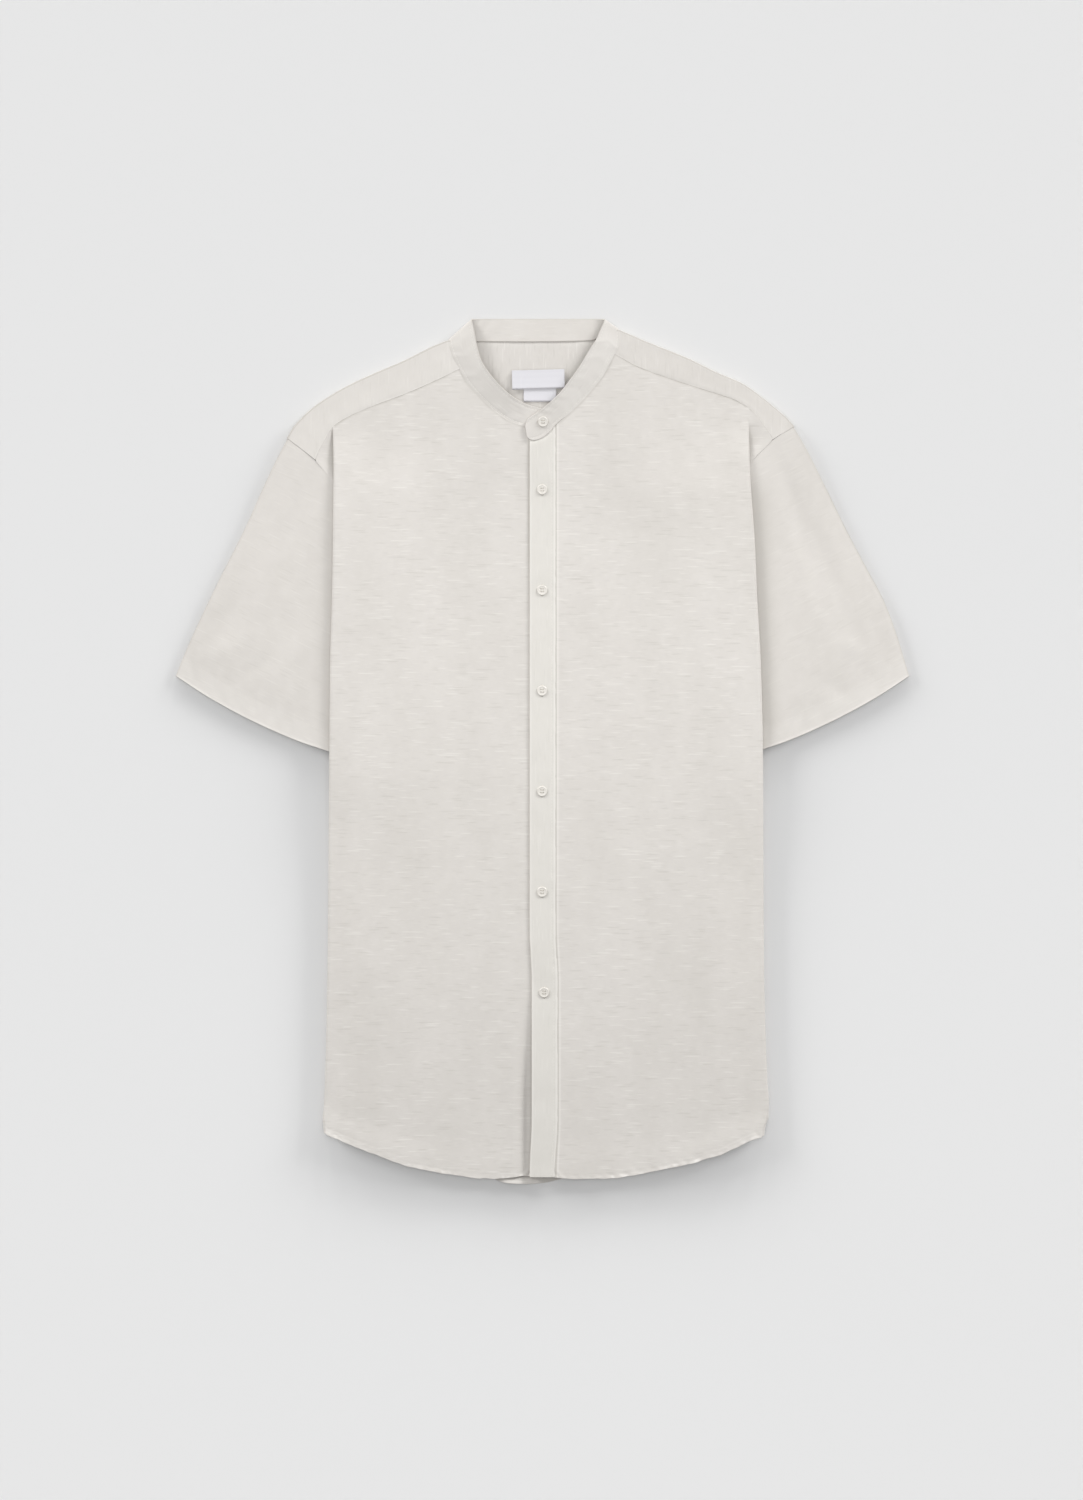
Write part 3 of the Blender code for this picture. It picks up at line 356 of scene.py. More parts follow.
def falling(distance, end, over):
    """smooth((end - d) / over), in millimetres: 1 up to end - over, and 0 from end on."""
    return smooth((end * MM - distance) / (over * MM))


def creases(x, y, table):
    """The sum over rows of lift x bell(across, half width) x bell(along, half length), turned as they say."""
    lift = np.zeros(np.broadcast(x, y).shape)
    for middle_x, middle_y, half_width, half_length, turn, rise in table:
        angle = math.radians(turn)
        dx = x - middle_x * MM
        dy = y - middle_y * MM
        across = dx * math.cos(angle) + dy * math.sin(angle)
        along_it = dy * math.cos(angle) - dx * math.sin(angle)
        lift += rise * MM * bell(across, half_width * MM) * bell(along_it, half_length * MM)
    return lift


def ripple(x, y, size, seed, stretch=1.0):
    """Soft unevenness, mostly between -1 and 1: 14 cosines in seeded directions, crests about size apart.

    It is the sum of cos(2 pi d / size + start) over 6, with d measured in each one's direction. Size is in
    millimetres.
    """
    chance = np.random.default_rng(seed)
    total = np.zeros(np.broadcast(x, y).shape)
    for turn, wide, begin in chance.random((14, 3)):
        angle = turn * math.pi
        wave = 2 * math.pi / (size * MM * (0.7 + 0.8 * wide))
        total += np.cos((x * math.cos(angle) / stretch + y * math.sin(angle)) * wave + begin * 2 * math.pi)
    return total / 6


def puckers(along_seam, away, spacing, width, reach, rise, seed):
    """Small ridges across a seam where the thread draws it up: rise x bell(along, width) x bell(away, reach).

    Their places, widths, reach and heights are uneven, from seeded chance, and every other one is a hollow.
    Sizes are in millimetres.
    """
    chance = np.random.default_rng(seed)
    lift = np.zeros(np.broadcast(along_seam, away).shape)
    at = float(along_seam.min())
    last = float(along_seam.max())
    sign = 1.0
    while at < last:
        wide, far, high, next_step = chance.random(4)
        across = bell(along_seam - at, width * MM * (0.6 + 0.9 * wide))
        lift += sign * rise * MM * (0.25 + high) * (across * bell(away, reach * MM * (0.5 + 1.1 * far)))
        at += spacing * MM * (0.45 + 1.1 * next_step)
        sign = -sign
    return lift


def grid(*parts):
    """Arrays of x, y and often z, broadcast together and joined as points."""
    return np.stack(np.broadcast_arrays(*parts), axis=-1)


def new_piece(name, points, faces, finish, uv=None, painted_light=None):
    """An object from points and four-sided faces, its UV map in metres and its points' painted light and
    shade.
    """
    mesh = bpy.data.meshes.new(name)
    mesh.vertices.add(len(points))
    mesh.vertices.foreach_set("co", np.ascontiguousarray(points, np.float32).ravel())
    mesh.loops.add(faces.size)
    mesh.loops.foreach_set("vertex_index", np.ascontiguousarray(faces, np.int32).ravel())
    mesh.polygons.add(len(faces))
    mesh.polygons.foreach_set("loop_start", np.arange(0, faces.size, 4, dtype=np.int32))
    mesh.update(calc_edges=True)
    mesh.validate()
    layer = mesh.uv_layers.new(name="flat")
    flat = points[:, :2] if uv is None else uv
    layer.data.foreach_set("uv", np.ascontiguousarray(flat[faces.ravel()], np.float32).ravel())
    # the points' painted light and shade, read by the cloth's material
    if painted_light is not None:
        mesh.attributes.new("painted_light", "FLOAT", "POINT").data.foreach_set("value", painted_light.astype(np.float32))
    mesh.shade_smooth()
    mesh.materials.append(finish)
    made = bpy.data.objects.new(name, mesh)
    shirt.objects.link(made)
    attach(made, "root")
    return made


def cloth_wall(name, middle, thick, finish, uv=None, keep=None, ring=False, painted_light=0.0):
    """A closed wall of cloth: middle + normal x thick / 2 on both faces, with a rounded edge all round.

    keep says which cells of the grid are cloth, ring joins the last row to the first, and the last argument
    is the painted light and shade of each point. Returns the object and the grid of its upper face.
    """
    rows, columns = middle.shape[:2]
    index = np.arange(rows * columns).reshape(rows, columns)
    if ring:
        index = np.concatenate((index, index[:1]))
    cells = np.stack((index[:-1, :-1], index[1:, :-1], index[1:, 1:], index[:-1, 1:]), axis=-1)
    cells = cells.reshape(-1, 4) if keep is None else cells[keep]
    points = middle.reshape(-1, 3)
    facing = np.cross(points[cells[:, 2]] - points[cells[:, 0]], points[cells[:, 3]] - points[cells[:, 1]])
    normals = np.zeros_like(points)
    for corner in range(4):
        np.add.at(normals, cells[:, corner], facing)
    normals = unit(normals)
    reach = np.broadcast_to(thick, (rows, columns)).reshape(-1, 1) / 2
    if normals[cells[:, 0], 2].sum() < 0:
        cells = cells[:, ::-1]
        normals = -normals

    # The edge runs along the sides of cells that no other cell shares, and its middle stands a little out
    sides = np.concatenate([cells[:, (k, (k + 1) % 4)] for k in range(4)])
    key = sides.min(axis=1).astype(np.int64) * len(points) + sides.max(axis=1)
    _, first, count = np.unique(key, return_index=True, return_counts=True)
    rim = sides[first[count == 1]]
    outward = np.zeros_like(points)
    away = np.cross(points[rim[:, 1]] - points[rim[:, 0]], normals[rim[:, 0]] + normals[rim[:, 1]])
    np.add.at(outward, rim[:, 0], away)
    np.add.at(outward, rim[:, 1], away)
    outward = unit(outward)

    upper = points + normals * reach
    every = np.concatenate((upper, points - normals * reach, points + outward * reach * EDGE_ROUND))
    count = len(points)
    begin, end = rim.T
    edge_up = grid(end, begin, begin + 2 * count, end + 2 * count)
    edge_down = grid(end + 2 * count, begin + 2 * count, begin + count, end + count)
    faces = np.concatenate((cells, cells[:, ::-1] + count, edge_up, edge_down))
    flat = points[:, :2] if uv is None else uv.reshape(-1, 2)
    flat = np.concatenate((flat, flat, flat))
    painted_light = np.tile(np.broadcast_to(painted_light, (rows, columns)).ravel(), 3)
    used, faces = np.unique(faces, return_inverse=True)
    made = new_piece(name, every[used], faces.reshape(-1, 4), finish, flat[used], painted_light[used])
    made.data.set_sharp_from_angle(angle=SHARP_FROM)
    return made, upper.reshape(rows, columns, 3)


def side_fold(height, side):
    """How far out the body folds at this height."""
    return through(height, SIDE_FOLD[:, 0], SIDE_FOLD[:, 1 if side == "right" else 2])


def tuck(height):
    """How far the tuck runs in, the level of the front over it, and the level of its front layer."""
    return [through(height, TUCK[:, 0], part) for part in TUCK.T[1:]]


def back_hem(across):
    """A parabola with a dip in it: bottom + rise x (across / span)^2 - the dip of the table."""
    curve = BACK_HEM_BOTTOM + BACK_HEM_RISE * (across / BACK_HEM_SPAN) ** 2
    return curve - through(across, *BACK_HEM_DIP.T)


def back_grid(share, across, angle, inwards):
    """The back's middle surface. Rows run down by share. Columns run out through the right tuck, round the
    right fold, across to the left one and round it into the left tuck. The fold is a half circle, and the
    tucked part runs in above the floor layer and sinks a little on the way."""
    top = BACK_YOKE_SEAM - SEAM_GAP
    floor_level = CLOTH / 2 + 0.05 * MM
    parts = {}
    folds = {}
    for side, sign in SIDES.items():
        base_hem = back_hem(side_fold(back_hem(200 * MM), side))
        height = top + (base_hem - top) * share
        spread = BACK_SPREAD * smooth((height - top) / BACK_SPREAD_OVER + 1)
        fold = (side_fold(height, side) - BACK_FOLD_BULGE - CLOTH / 2 + spread)[:, None]
        depth = (tuck(np.minimum(height, TUCK[0, 0]))[0] + spread)[:, None]
        turned = fold + BACK_FOLD_BULGE * np.sin(angle)
        turned_level = (floor_level + BACK_TUCK) / 2 - (BACK_TUCK - floor_level) / 2 * np.cos(angle)
        inner = fold - inwards * (depth - 1.5 * MM)
        inner_level = BACK_TUCK - BACK_TUCK_SETTLES * smooth((fold - inner) / TUCK_DEPTH)
        travelled = fold + np.concatenate((0 * angle, inwards)) * depth
        y = top + (back_hem(travelled) - top) * share[:, None]
        level = np.concatenate((np.broadcast_to(turned_level, turned.shape), inner_level), axis=1)
        parts[side] = grid(sign * np.concatenate((turned, inner), axis=1), y, level)
        folds[side] = fold
    x = np.where(across < 0, across * folds["right"], across * folds["left"])
    y = top + (back_hem(x) - top) * share[:, None]
    return np.concatenate((parts["right"][:, ::-1], grid(x, y, floor_level), parts["left"]), axis=1)


cloth = slub_linen("slub_linen", GROUND, 0.92, SLUB_DARK)

length = BACK_YOKE_SEAM - BACK_HEM_BOTTOM + BACK_HEM_SPARE
down = steps((length - 40 * MM, 5 * MM), (length - 14 * MM, 2.5 * MM), (length, 1.2 * MM)) / length
back = back_grid(down, np.linspace(-1, 1, 120), np.linspace(0, 1, 9)[1:] * math.pi, np.linspace(0, 1, 22)[1:])
from_hem = (1 - down[:, None]) * length
back_thick = CLOTH + (HEM - CLOTH) * smooth((HEM_WIDTH + 0.5 * MM - from_hem) / (1 * MM))
lying = falling(back[..., 2], 1.2, 0.6)
back[..., 2] += lying * ((back_thick - CLOTH) / 2 + creases(back[..., 0], back[..., 1], BACK_CREASES))
hem_puckers = puckers(back[..., 0], from_hem - 4 * MM, 7, 1.8, 5, 0.12, 11)
back[..., 2] += lying * np.maximum(hem_puckers, 0)
rise, place, half_width = BACK_HEM_LIFT
curled = bell(back[..., 0] - place, half_width) * (1 - rising(from_hem, 0, 13))
back[..., 2] += lying * rise * curled
# painted light: the curled-up edge of the back's hem is painted a little paler
back_panel, back_top = cloth_wall("back_panel_linen", back, back_thick, cloth, painted_light=0.15 * curled)
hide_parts("back_panel")

# ----------------------------------------------------------
# Sewing thread. Fine polyester, a shade darker than the cloth, in lockstitches of about 3 mm that sit in the
# groove they pull into the cloth. All the seams' topstitching is made by one function, here for the back hem.
# ----------------------------------------------------------
STITCH = 3.0 * MM  # from one needle hole to the next
STITCH_SEEN = 2.3 * MM
THREAD = 0.42 * MM  # 0.25 mm in the real seam, drawn this thick to show


def sewing_thread(name, colour, shade):
    """Spun polyester: a soft gloss on tight plies, which are a noise 0.6 mm across in colour and bump."""
    made, tree, shader = new_finish(name)
    at = add_node(tree, "TexCoord").node.outputs["Object"]
    plies = add_node(tree, "TexNoise", {"Vector": at, "Scale": 1 / (0.6 * MM), "Detail": 1.0})
    mixed = add_node(tree, "Mix", {0: plies, 6: hex_colour(colour), 7: hex_colour(shade)}, data_type="RGBA")
    bump = add_node(tree, "Bump", {"Strength": 0.4, "Distance": 0.05 * MM, "Height": plies})
    plug(tree, shader, {"Base Color": mixed, "Normal": bump, "Roughness": 0.6, "Specular IOR Level": 0.3})
    return made


def run_along(line):
    """How far along a line each of its points lies: the running sum of the lengths between them."""
    return np.concatenate(([0], np.cumsum(np.linalg.norm(np.diff(line, axis=0), axis=1))))


def tube(rows, around):
    """The numbers of a tube's points, ring after ring, and the four-sided faces between its rings."""
    index = np.arange(rows * around).reshape(rows, around)
    turned = np.roll(index, -1, axis=1)
    return index, grid(index[:-1], turned[:-1], turned[1:], index[1:]).reshape(-1, 4)


def stitched(name, paths, finish, deeper=0.0):
    """A row of stitches along each path: four-sided spindles, their ends sunk into the cloth.

    Round each stitch's line p(t): p + radius(t) x (cos a x side + sin a x up) - (sink(t) + deeper) x up.
    """
    up = np.array((0.0, 0.0, 1.0))
    rings = np.array((-1.0, -0.6, 0.6, 1.0))
    radius = np.array((0.3, 1.0, 1.0, 0.3)) * THREAD / 2
    sink = np.array((0.30, 0.06, 0.06, 0.30)) * MM + deeper
    corner = np.array((0.0, 0.5, 1.0, 1.5)) * math.pi
    points = []
    for path in paths:
        run = run_along(path)
        count = int(run[-1] / STITCH)
        middles = (np.arange(count) + 0.5) * run[-1] / count
        at = middles[:, None] + rings * STITCH_SEEN / 2
        line = np.stack([np.interp(at, run, path[:, k]) for k in range(3)], axis=-1)
        way = line[:, -1] - line[:, 0]
        side = unit(np.cross(up, way))
        line = line - sink[None, :, None] * up
        ring = np.cos(corner)[:, None] * side[:, None, None] + np.sin(corner)[:, None] * up
        points.append(line[:, :, None] + radius[None, :, None, None] * ring)
    points = np.concatenate(points)
    index, walls = tube(4, 4)
    ends = np.stack((index[0, ::-1], index[-1]))
    faces = np.concatenate((walls, ends))[None] + index.size * np.arange(len(points))[:, None, None]
    new_piece(name, points.reshape(-1, 3), faces.reshape(-1, 4), finish)


thread = sewing_thread("polyester_thread", "#ECE9E3", "#DDD9D2")


def stitch_row(upper, distance, places):
    """The line on a piece's upper face at this place along its rows, interpolated between two rows."""
    row = np.searchsorted(places, distance)
    share = (distance - places[row - 1]) / (places[row] - places[row - 1])
    return upper[row - 1] * (1 - share) + upper[row] * share


back_hem_path = stitch_row(back_top, 1 - BACK_HEM_STITCHES_UP / length, down)
stitched("back_hem_stitches", [back_hem_path[BACK_HEM_STITCHED]], thread)

# ----------------------------------------------------------
# Inner yoke. A second ply of the same cloth inside the shoulders, cut with its weft running up and down. Only
# the part inside the neck shows, up to the seam under the collar band.
# ----------------------------------------------------------
INNER_YOKE = 1.9 * MM
INNER_YOKE_TOP = {  # out and height of its top edge at each side of the neck, under the shoulders
    "right": ((150, 342), (130, 350), (108, 361), (92, 369), (78, 375)),
    "left": ((72, 379), (88, 372), (108, 363.7), (130, 354), (150, 345)),
}
NECK_BACK_EDGE = (
    (-66, 381.6), (-44, 381.6), (-22, 381.5), (0, 381.5), (22, 381.7), (42, 381.9), (56, 382.4),
)

right_part = [(-out, height) for out, height in INNER_YOKE_TOP["right"]]
edge = np.array([*right_part, *NECK_BACK_EDGE, *INNER_YOKE_TOP["left"]]) * MM
x = np.linspace(edge[0, 0], edge[-1, 0], 110)[:, None]
top = through(x, *edge.T)
foot = BACK_YOKE_SEAM + 3 * MM
y = foot + (top - foot) * np.linspace(0, 1, 46)
level = INNER_YOKE + 0.10 * MM * ripple(x, y, 26, 5, 0.6)
level += 0.22 * MM * ridge(x, -44, 4) + 0.2 * MM * ridge(x, 36, 3.5)
level -= 0.5 * MM * smooth((y - top + 4 * MM) / (4 * MM))
inner = grid(x, y, level)
yoke_inner, _ = cloth_wall("yoke_inner_linen", inner, CLOTH, cloth, uv=inner[..., (1, 0)])
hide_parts("yoke_inner")

# ----------------------------------------------------------
# Outer yoke. One piece over both shoulders, its weft running up and down, from the seam with the back to the
# two seams on the front. It lies flat on the surface behind, turns at the shoulders and comes to the front.
# ----------------------------------------------------------
SLEEVE_BACK_IN_TUCK = 3.9 * MM
SLEEVE_FRONT_IN_TUCK = 5.5 * MM
NECK_LEVEL = 6.2 * MM
FADE_OUT = 35 * MM  # how far outside the body the sleeve comes down onto the surface
SHOULDER_BULGE = 0.35 * MM
SHOULDER_FULLER = 1.1 * MM  # how far its fold stands outside the line of the table
# painted shade on the yoke's fold over the shoulder, and painted light on its right half's front and its
# front edge
YOKE_FOLD_PAINTED_SHADE, YOKE_RIGHT_PAINTED_LIGHT, YOKE_EDGE_PAINTED_LIGHT = -0.7, 0.12, 0.25
YOKE_UNDER_BAND = 0.6 * MM
YOKE_FRONT_LONG = 26 * MM  # from the shoulder to the front seam
YOKE_CORNER = 0.795  # share of its front seam at which it turns down into the tuck
YOKE_FRONT_SEAM = {
    "right": ((77.5, 354.7), (94.4, 346.2), (125.7, 332.3), (158.4, 319.9), (184.4, 308.2), (196.1, 299.3)),
    "left": ((67.1, 368.6), (87.6, 357.2), (121.6, 344.7), (159.9, 332.4), (178, 326.2), (191.5, 318.2)),
}
# The seam again, past the start of the tuck, down to the armhole seam
YOKE_SEAM_END = {
    "right": ((202.7, 287.9), (207.9, 278.6), (211.2, 270.3)),
    "left": ((199.2, 311.2), (206.8, 300.9), (214.5, 289.6)),
}
YOKE_SEAM = {side: (*YOKE_FRONT_SEAM[side], *YOKE_SEAM_END[side]) for side in SIDES}
NECK_SHOULDER_SEAM = {
    "right": ((86.2, 381.0), (83.6, 367.4), (77.5, 354.7)),
    "left": ((69.6, 391.0), (70.7, 380.0), (67.1, 368.6)),
}
SHOULDER_LINE = {
    "right": (
        (87.6, 381.2), (106.1, 371.9), (132.2, 359.0), (151.8, 350.8), (177.9, 338.8), (197.0, 328.0),
        (213.0, 317.0), (226.5, 304.0), (237.2, 290.4),
    ),
    "left": (
        (70.8, 391.0), (87.6, 382.2), (108.1, 373.7), (135.3, 362.7), (162.7, 349.3), (184.4, 340.0),
        (201, 328.5), (219, 314.0), (233.6, 301.2),
    ),
}
# The armhole seam as sewn: its upper end shows, and the rest lies inside the tuck
ARMHOLE_SEAM = {
    "right": (
        (237.2, 290.4), (222.3, 279.2), (211.2, 270.3), (201.3, 258.9), (193, 249), (183, 232), (171, 207),
        (156, 178), (141, 150), (128, 120), (119.5, 88),
    ),
    "left": (
        (233.6, 301.2), (226.7, 297.0), (214.5, 289.6), (205, 280.5), (197.5, 273), (190, 263), (181, 244),
        (171, 215), (158, 180), (145, 150), (133, 120), (124.5, 88),
    ),
}
NECK_BACK_LINE = ((-60, 380.4), (-8, 380.4), (36, 381.1), (58, 387.2))


def along(rows, share, size=MM):
    """Points at these shares of the length of the smooth curve through rows, whose unit is this size."""
    rows = np.asarray(rows, float) * size
    chord = run_along(rows)
    return grid(*[through(share * chord[-1], chord, part) for part in rows.T])


def read_off(rows, at, known):
    """Where the smooth curve through rows lies in one direction, at places in the other: 0 out, 1 height."""
    line = along(rows, np.linspace(0, 1, 400))
    order = np.argsort(line[:, known])
    return np.interp(at, line[order, known], line[order, 1 - known])


def patch(top, bottom, start, end, u, v):
    """A surface between four edges (Coons): two ruled surfaces, less the bilinear one of the corners."""
    u = u[:, None, None]
    v = v[None, :, None]
    edges = (1 - v) * top[:, None] + v * bottom[:, None] + (1 - u) * start[None] + u * end[None]
    corners = (1 - u) * ((1 - v) * top[0] + v * bottom[0]) + u * ((1 - v) * top[-1] + v * bottom[-1])
    return edges - corners


def outer_share(out, height, side):
    """1 between the layers of the body, falling to 0 where the sleeve lies on the surface."""
    return 1 - smooth((out - side_fold(height, side) - 3 * MM) / FADE_OUT)


def yoke_back_level(out, height, side):
    """The back of the yoke lies on the surface, and lifts at the side to pass over the top of the tuck. Above
    that the fold of the front presses it down again."""
    rise = falling(height, 300, 30)
    inside = rising(out - side_fold(height, side), -14, 12)
    pressed = smooth((height - BACK_YOKE_SEAM) / (8 * MM)) * ridge(out - side_fold(height, side), -3, 10)
    lift = (SLEEVE_BACK_IN_TUCK - CLOTH / 2) * rise * inside * outer_share(out, height, side)
    return CLOTH / 2 + lift * (1 - 0.8 * pressed)


def yoke_front_level(out, height, side):
    """As high as the front it is sewn to, and lower past the start of the tuck."""
    past = rising(out - side_fold(height, side), 1, 9)
    near_fold = NECK_LEVEL + 0.05 * MM
    return near_fold + (SLEEVE_FRONT_IN_TUCK + 0.2 * MM - near_fold) * past


def yoke_half(side, u, back_share, front_share, turn):
    """Half of the yoke, from the neck out by u: up its back, round the shoulder and down its front."""
    shoulder = along(SHOULDER_LINE[side], u)
    way = np.gradient(shoulder, axis=0)
    outward = unit(grid(-way[:, 1], way[:, 0]))
    from_neck = smooth(u / 0.1)[:, None]
    shoulder = shoulder + SHOULDER_FULLER * outward * from_neck * smooth((1 - u) / 0.07)[:, None]
    front_seam = along(YOKE_SEAM[side], u) + (0, SEAM_GAP)
    heights = shoulder[-1, 1] + (YOKE_SEAM[side][-1][1] * MM - shoulder[-1, 1]) * front_share
    to_armhole = grid(read_off(ARMHOLE_SEAM[side], heights, 1) - SEAM_GAP, heights)
    to_neck = along(NECK_SHOULDER_SEAM[side], front_share) - (YOKE_UNDER_BAND, 0)
    front_seam[-1] = to_armhole[-1]
    front_seam[0] = to_neck[-1] + (0, SEAM_GAP)
    to_neck[-1] = front_seam[0]
    shoulder[0] = to_neck[0]
    shoulder[-1] = to_armhole[0]
    front = patch(shoulder, front_seam, to_neck, to_armhole, u, front_share)
    heights = shoulder[-1, 1] + (BACK_YOKE_SEAM - shoulder[-1, 1]) * back_share
    to_back = grid(read_off(ARMHOLE_SEAM[side], heights, 1) - 2 * SEAM_GAP, heights)
    to_back[0] = shoulder[-1]
    foot = shoulder[0] * (0.9, 0) + (to_back[-1] - shoulder[0] * (0.9, 0)) * u[:, None]
    foot[:, 1] = BACK_YOKE_SEAM
    straight = shoulder[0] + (foot[0] - shoulder[0]) * back_share[:, None]
    back = patch(shoulder, foot, straight, to_back, u, back_share)[:, ::-1]
    low = yoke_back_level(back[..., 0], back[..., 1], side)
    high = yoke_front_level(front[..., 0], front[..., 1], side)
    bulge = SHOULDER_BULGE * (0.4 + 0.6 * from_neck)
    rounds = shoulder[:, None] + bulge[:, None] * np.sin(turn)[None, :, None] * outward[:, None]
    low_end = low[:, -1:]
    high_end = high[:, :1]
    round_level = (low_end + high_end) / 2 - (high_end - low_end) / 2 * np.cos(turn)
    plan = np.concatenate((back, rounds, front), axis=1)
    level = np.concatenate((low, round_level, high), axis=1)
    return grid(SIDES[side] * plan[..., 0], plan[..., 1], level)


def yoke_relief(points, front_share, side):
    """Soft dents along the shoulder and fine puckers beside the front seam, on the front part of the yoke."""
    x, y = points[..., 0], points[..., 1]
    away = (1 - front_share) * YOKE_FRONT_LONG
    seed = 21 if side == "right" else 22
    lift = 0.12 * MM * ripple(x, y, 34, seed)
    lift += puckers(np.abs(x), away, 6, 1.6, 5, 0.15, seed + 10)
    return lift * smooth(front_share * 4) * smooth((1 - front_share) * 20 + 0.2)


u = np.concatenate((np.linspace(0, YOKE_CORNER, 62), np.linspace(YOKE_CORNER, 1, 20)[1:]))
back_share = np.linspace(0, 1, 24)
front_share = np.concatenate(([0, 0.012], steps((0.86, 0.045), (1.0, 0.02))[1:]))
turn = np.linspace(0, 1, 10)[1:-1] * math.pi
halves = {}
for side in SIDES:
    halves[side] = yoke_half(side, u, back_share, front_share, turn)
    front_part = halves[side][:, -len(front_share) :]
    front_part[..., 2] += yoke_relief(front_part, front_share[None], side)
    # the seam allowance beneath lifts it by 0.1 mm beside the front seam
    front_part[..., 2] += 0.10 * MM * ridge((1 - front_share) * YOKE_FRONT_LONG, 4, 3)
legs = halves["right"].shape[1]
back_rows = len(back_share)
corners = [halves[side][0, back_rows - 1, :2] for side in SIDES]
v = np.linspace(0, 1, 34)[1:-1]
neck = along((corners[0], *(np.array(NECK_BACK_LINE) * MM), corners[1]), v, 1.0)
feet = halves["right"][0, 0, :2] + (halves["left"][0, 0, :2] - halves["right"][0, 0, :2]) * v[:, None]
middle = np.zeros((len(v), legs, 3))
middle[:, :back_rows, :2] = feet[:, None] + (neck - feet)[:, None] * back_share[None, :, None]
middle[:, :back_rows, 2] = CLOTH / 2
middle[:, back_rows:] = middle[:, back_rows - 1 : back_rows]
yoke = np.concatenate((halves["right"][::-1], middle, halves["left"]))
keep = np.ones((yoke.shape[0] - 1, legs - 1), bool)
keep[len(u) - 1 : len(u) + len(v), back_rows - 1 :] = False
yoke_cloth = slub_linen("yoke_slub_linen", GROUND, 0.5, SLUB_DARK)
# painted shade on the fold over the shoulder, painted light on the right half's front and along its front
# seam's edge
front_rows = back_rows + len(turn) + 2
yoke_painted_light = np.zeros(yoke.shape[:2])
yoke_painted_light[:, back_rows:front_rows] = YOKE_FOLD_PAINTED_SHADE
yoke_painted_light[: len(u), front_rows:] = YOKE_RIGHT_PAINTED_LIGHT
yoke_painted_light[:, -2:] += YOKE_EDGE_PAINTED_LIGHT
yoke_outer, yoke_top = cloth_wall("yoke_outer_linen", yoke, CLOTH, yoke_cloth, uv=yoke[..., (1, 0)],
                                  keep=keep, painted_light=yoke_painted_light)
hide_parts("yoke_outer")
yoke_paths = [yoke_top[: len(u) - 6, -3], yoke_top[-len(u) + 6 :, -3]]
stitched("yoke_stitches", yoke_paths, thread)

# ----------------------------------------------------------
# Sleeves. Each is a tube of the same cloth, pressed flat, from the armhole seam to a hem turned up 19.5 mm
# and stitched. The upper part lies inside the tuck of the body, and the rest comes down onto the surface.
# ----------------------------------------------------------
SLEEVE_OUTER_EDGE = {
    "right": (
        (237.2, 290.4), (249.0, 268.2), (262.0, 240.2), (277.0, 206.5), (304.0, 152.0), (331.0, 93.5),
        (340.2, 70.2),
    ),
    "left": (
        (233.6, 301.2), (247.0, 278.0), (265.5, 241.0), (283.0, 205.0), (302.0, 169.0), (318.8, 137.0),
        (330.5, 105.0), (340.8, 70.5),
    ),
}
SLEEVE_HEM = ((341.0, 70.0), (309.2, 49.4), (267.4, 27.0), (225.5, 8.8), (197.6, -0.5), (181.0, -6.5))
SLEEVE_FRONT_OUTSIDE = 4.0 * MM
SLEEVE_HEM_SINKS = 0.9 * MM
SLEEVE_EDGE_BULGE = 0.35 * MM
SLEEVE_INSET = 0.95 * MM  # from the seen edge in to where the fold starts to turn
TURN_UP = 19.5 * MM
SLEEVE_WEFT = math.radians(26)  # the weft runs along the hem, rising outwards
SLEEVE_LONG = 236 * MM
# painted light on the turned-up sleeve hem, and painted shade on the sleeve's outer fold
SLEEVE_HEM_PAINTED_LIGHT = 0.18
SLEEVE_FOLD_SHADE = -0.4
SLEEVE_HEM_THICKER = 0.7 * MM
SLEEVE_HEM_LOWER = 0.32 * MM
# painted shadow on the sleeves beside the fold of the body
PAINTED_SHADOW_BESIDE_BODY = {"right": 0.05, "left": 0.45}  # how much dimmer they are beside the fold of the body
SLEEVE_STITCH = TURN_UP - 1.4 * MM
SUNK_IN_HEM = 0.12 * MM  # how far a hem's stitches sink
# Soft hollows and folds: out, height, half width, half length, turn in degrees, lift
SLEEVE_CREASES = {
    "right": (
        (220, 238, 9, 40, 14, -0.8), (243, 226, 8, 40, 18, 0.6), (290, 122, 15, 26, 40, -0.8),
        (262, 156, 10, 55, 24, 0.5), (222, 150, 8, 60, 8, -0.4), (300, 92, 9, 22, 66, 0.6),
        (236, 84, 9, 30, 40, 0.5), (272, 74, 7, 18, 62, -0.5),
    ),
    "left": (
        (228, 246, 6, 34, 20, -0.7), (241, 200, 8, 50, 17, -0.9), (272, 158, 9, 46, 26, -0.8),
        (256, 222, 8, 50, 22, 0.6), (226, 170, 9, 70, 8, 0.4), (292, 128, 9, 40, 30, 0.6),
        (313, 104, 8, 24, 24, -0.6), (264, 62, 9, 16, 62, -0.6), (288, 96, 7, 16, 58, 0.5),
        (202, 120, 10, 130, 2, -1.1),
    ),
}


def sleeve_levels(out, height, side, share):
    """Levels of a sleeve's front and back: between the layers of the tuck, and on the surface outside it."""
    held = outer_share(out, height, side)
    sink = smooth((side_fold(height, side) - out) / TUCK_DEPTH)
    start = 1 - smooth(share / 0.35)
    front_outside = SLEEVE_FRONT_OUTSIDE + (SLEEVE_FRONT_IN_TUCK - SLEEVE_FRONT_OUTSIDE) * start
    front_outside = front_outside - SLEEVE_HEM_SINKS * smooth((share - 0.8) / 0.2)
    front = front_outside + (SLEEVE_FRONT_IN_TUCK - front_outside) * held - 1.0 * MM * sink
    rise = falling(height, 300, 30)
    back = CLOTH / 2 + (SLEEVE_BACK_IN_TUCK - CLOTH / 2) * held * rise - 0.7 * MM * sink
    return front, back


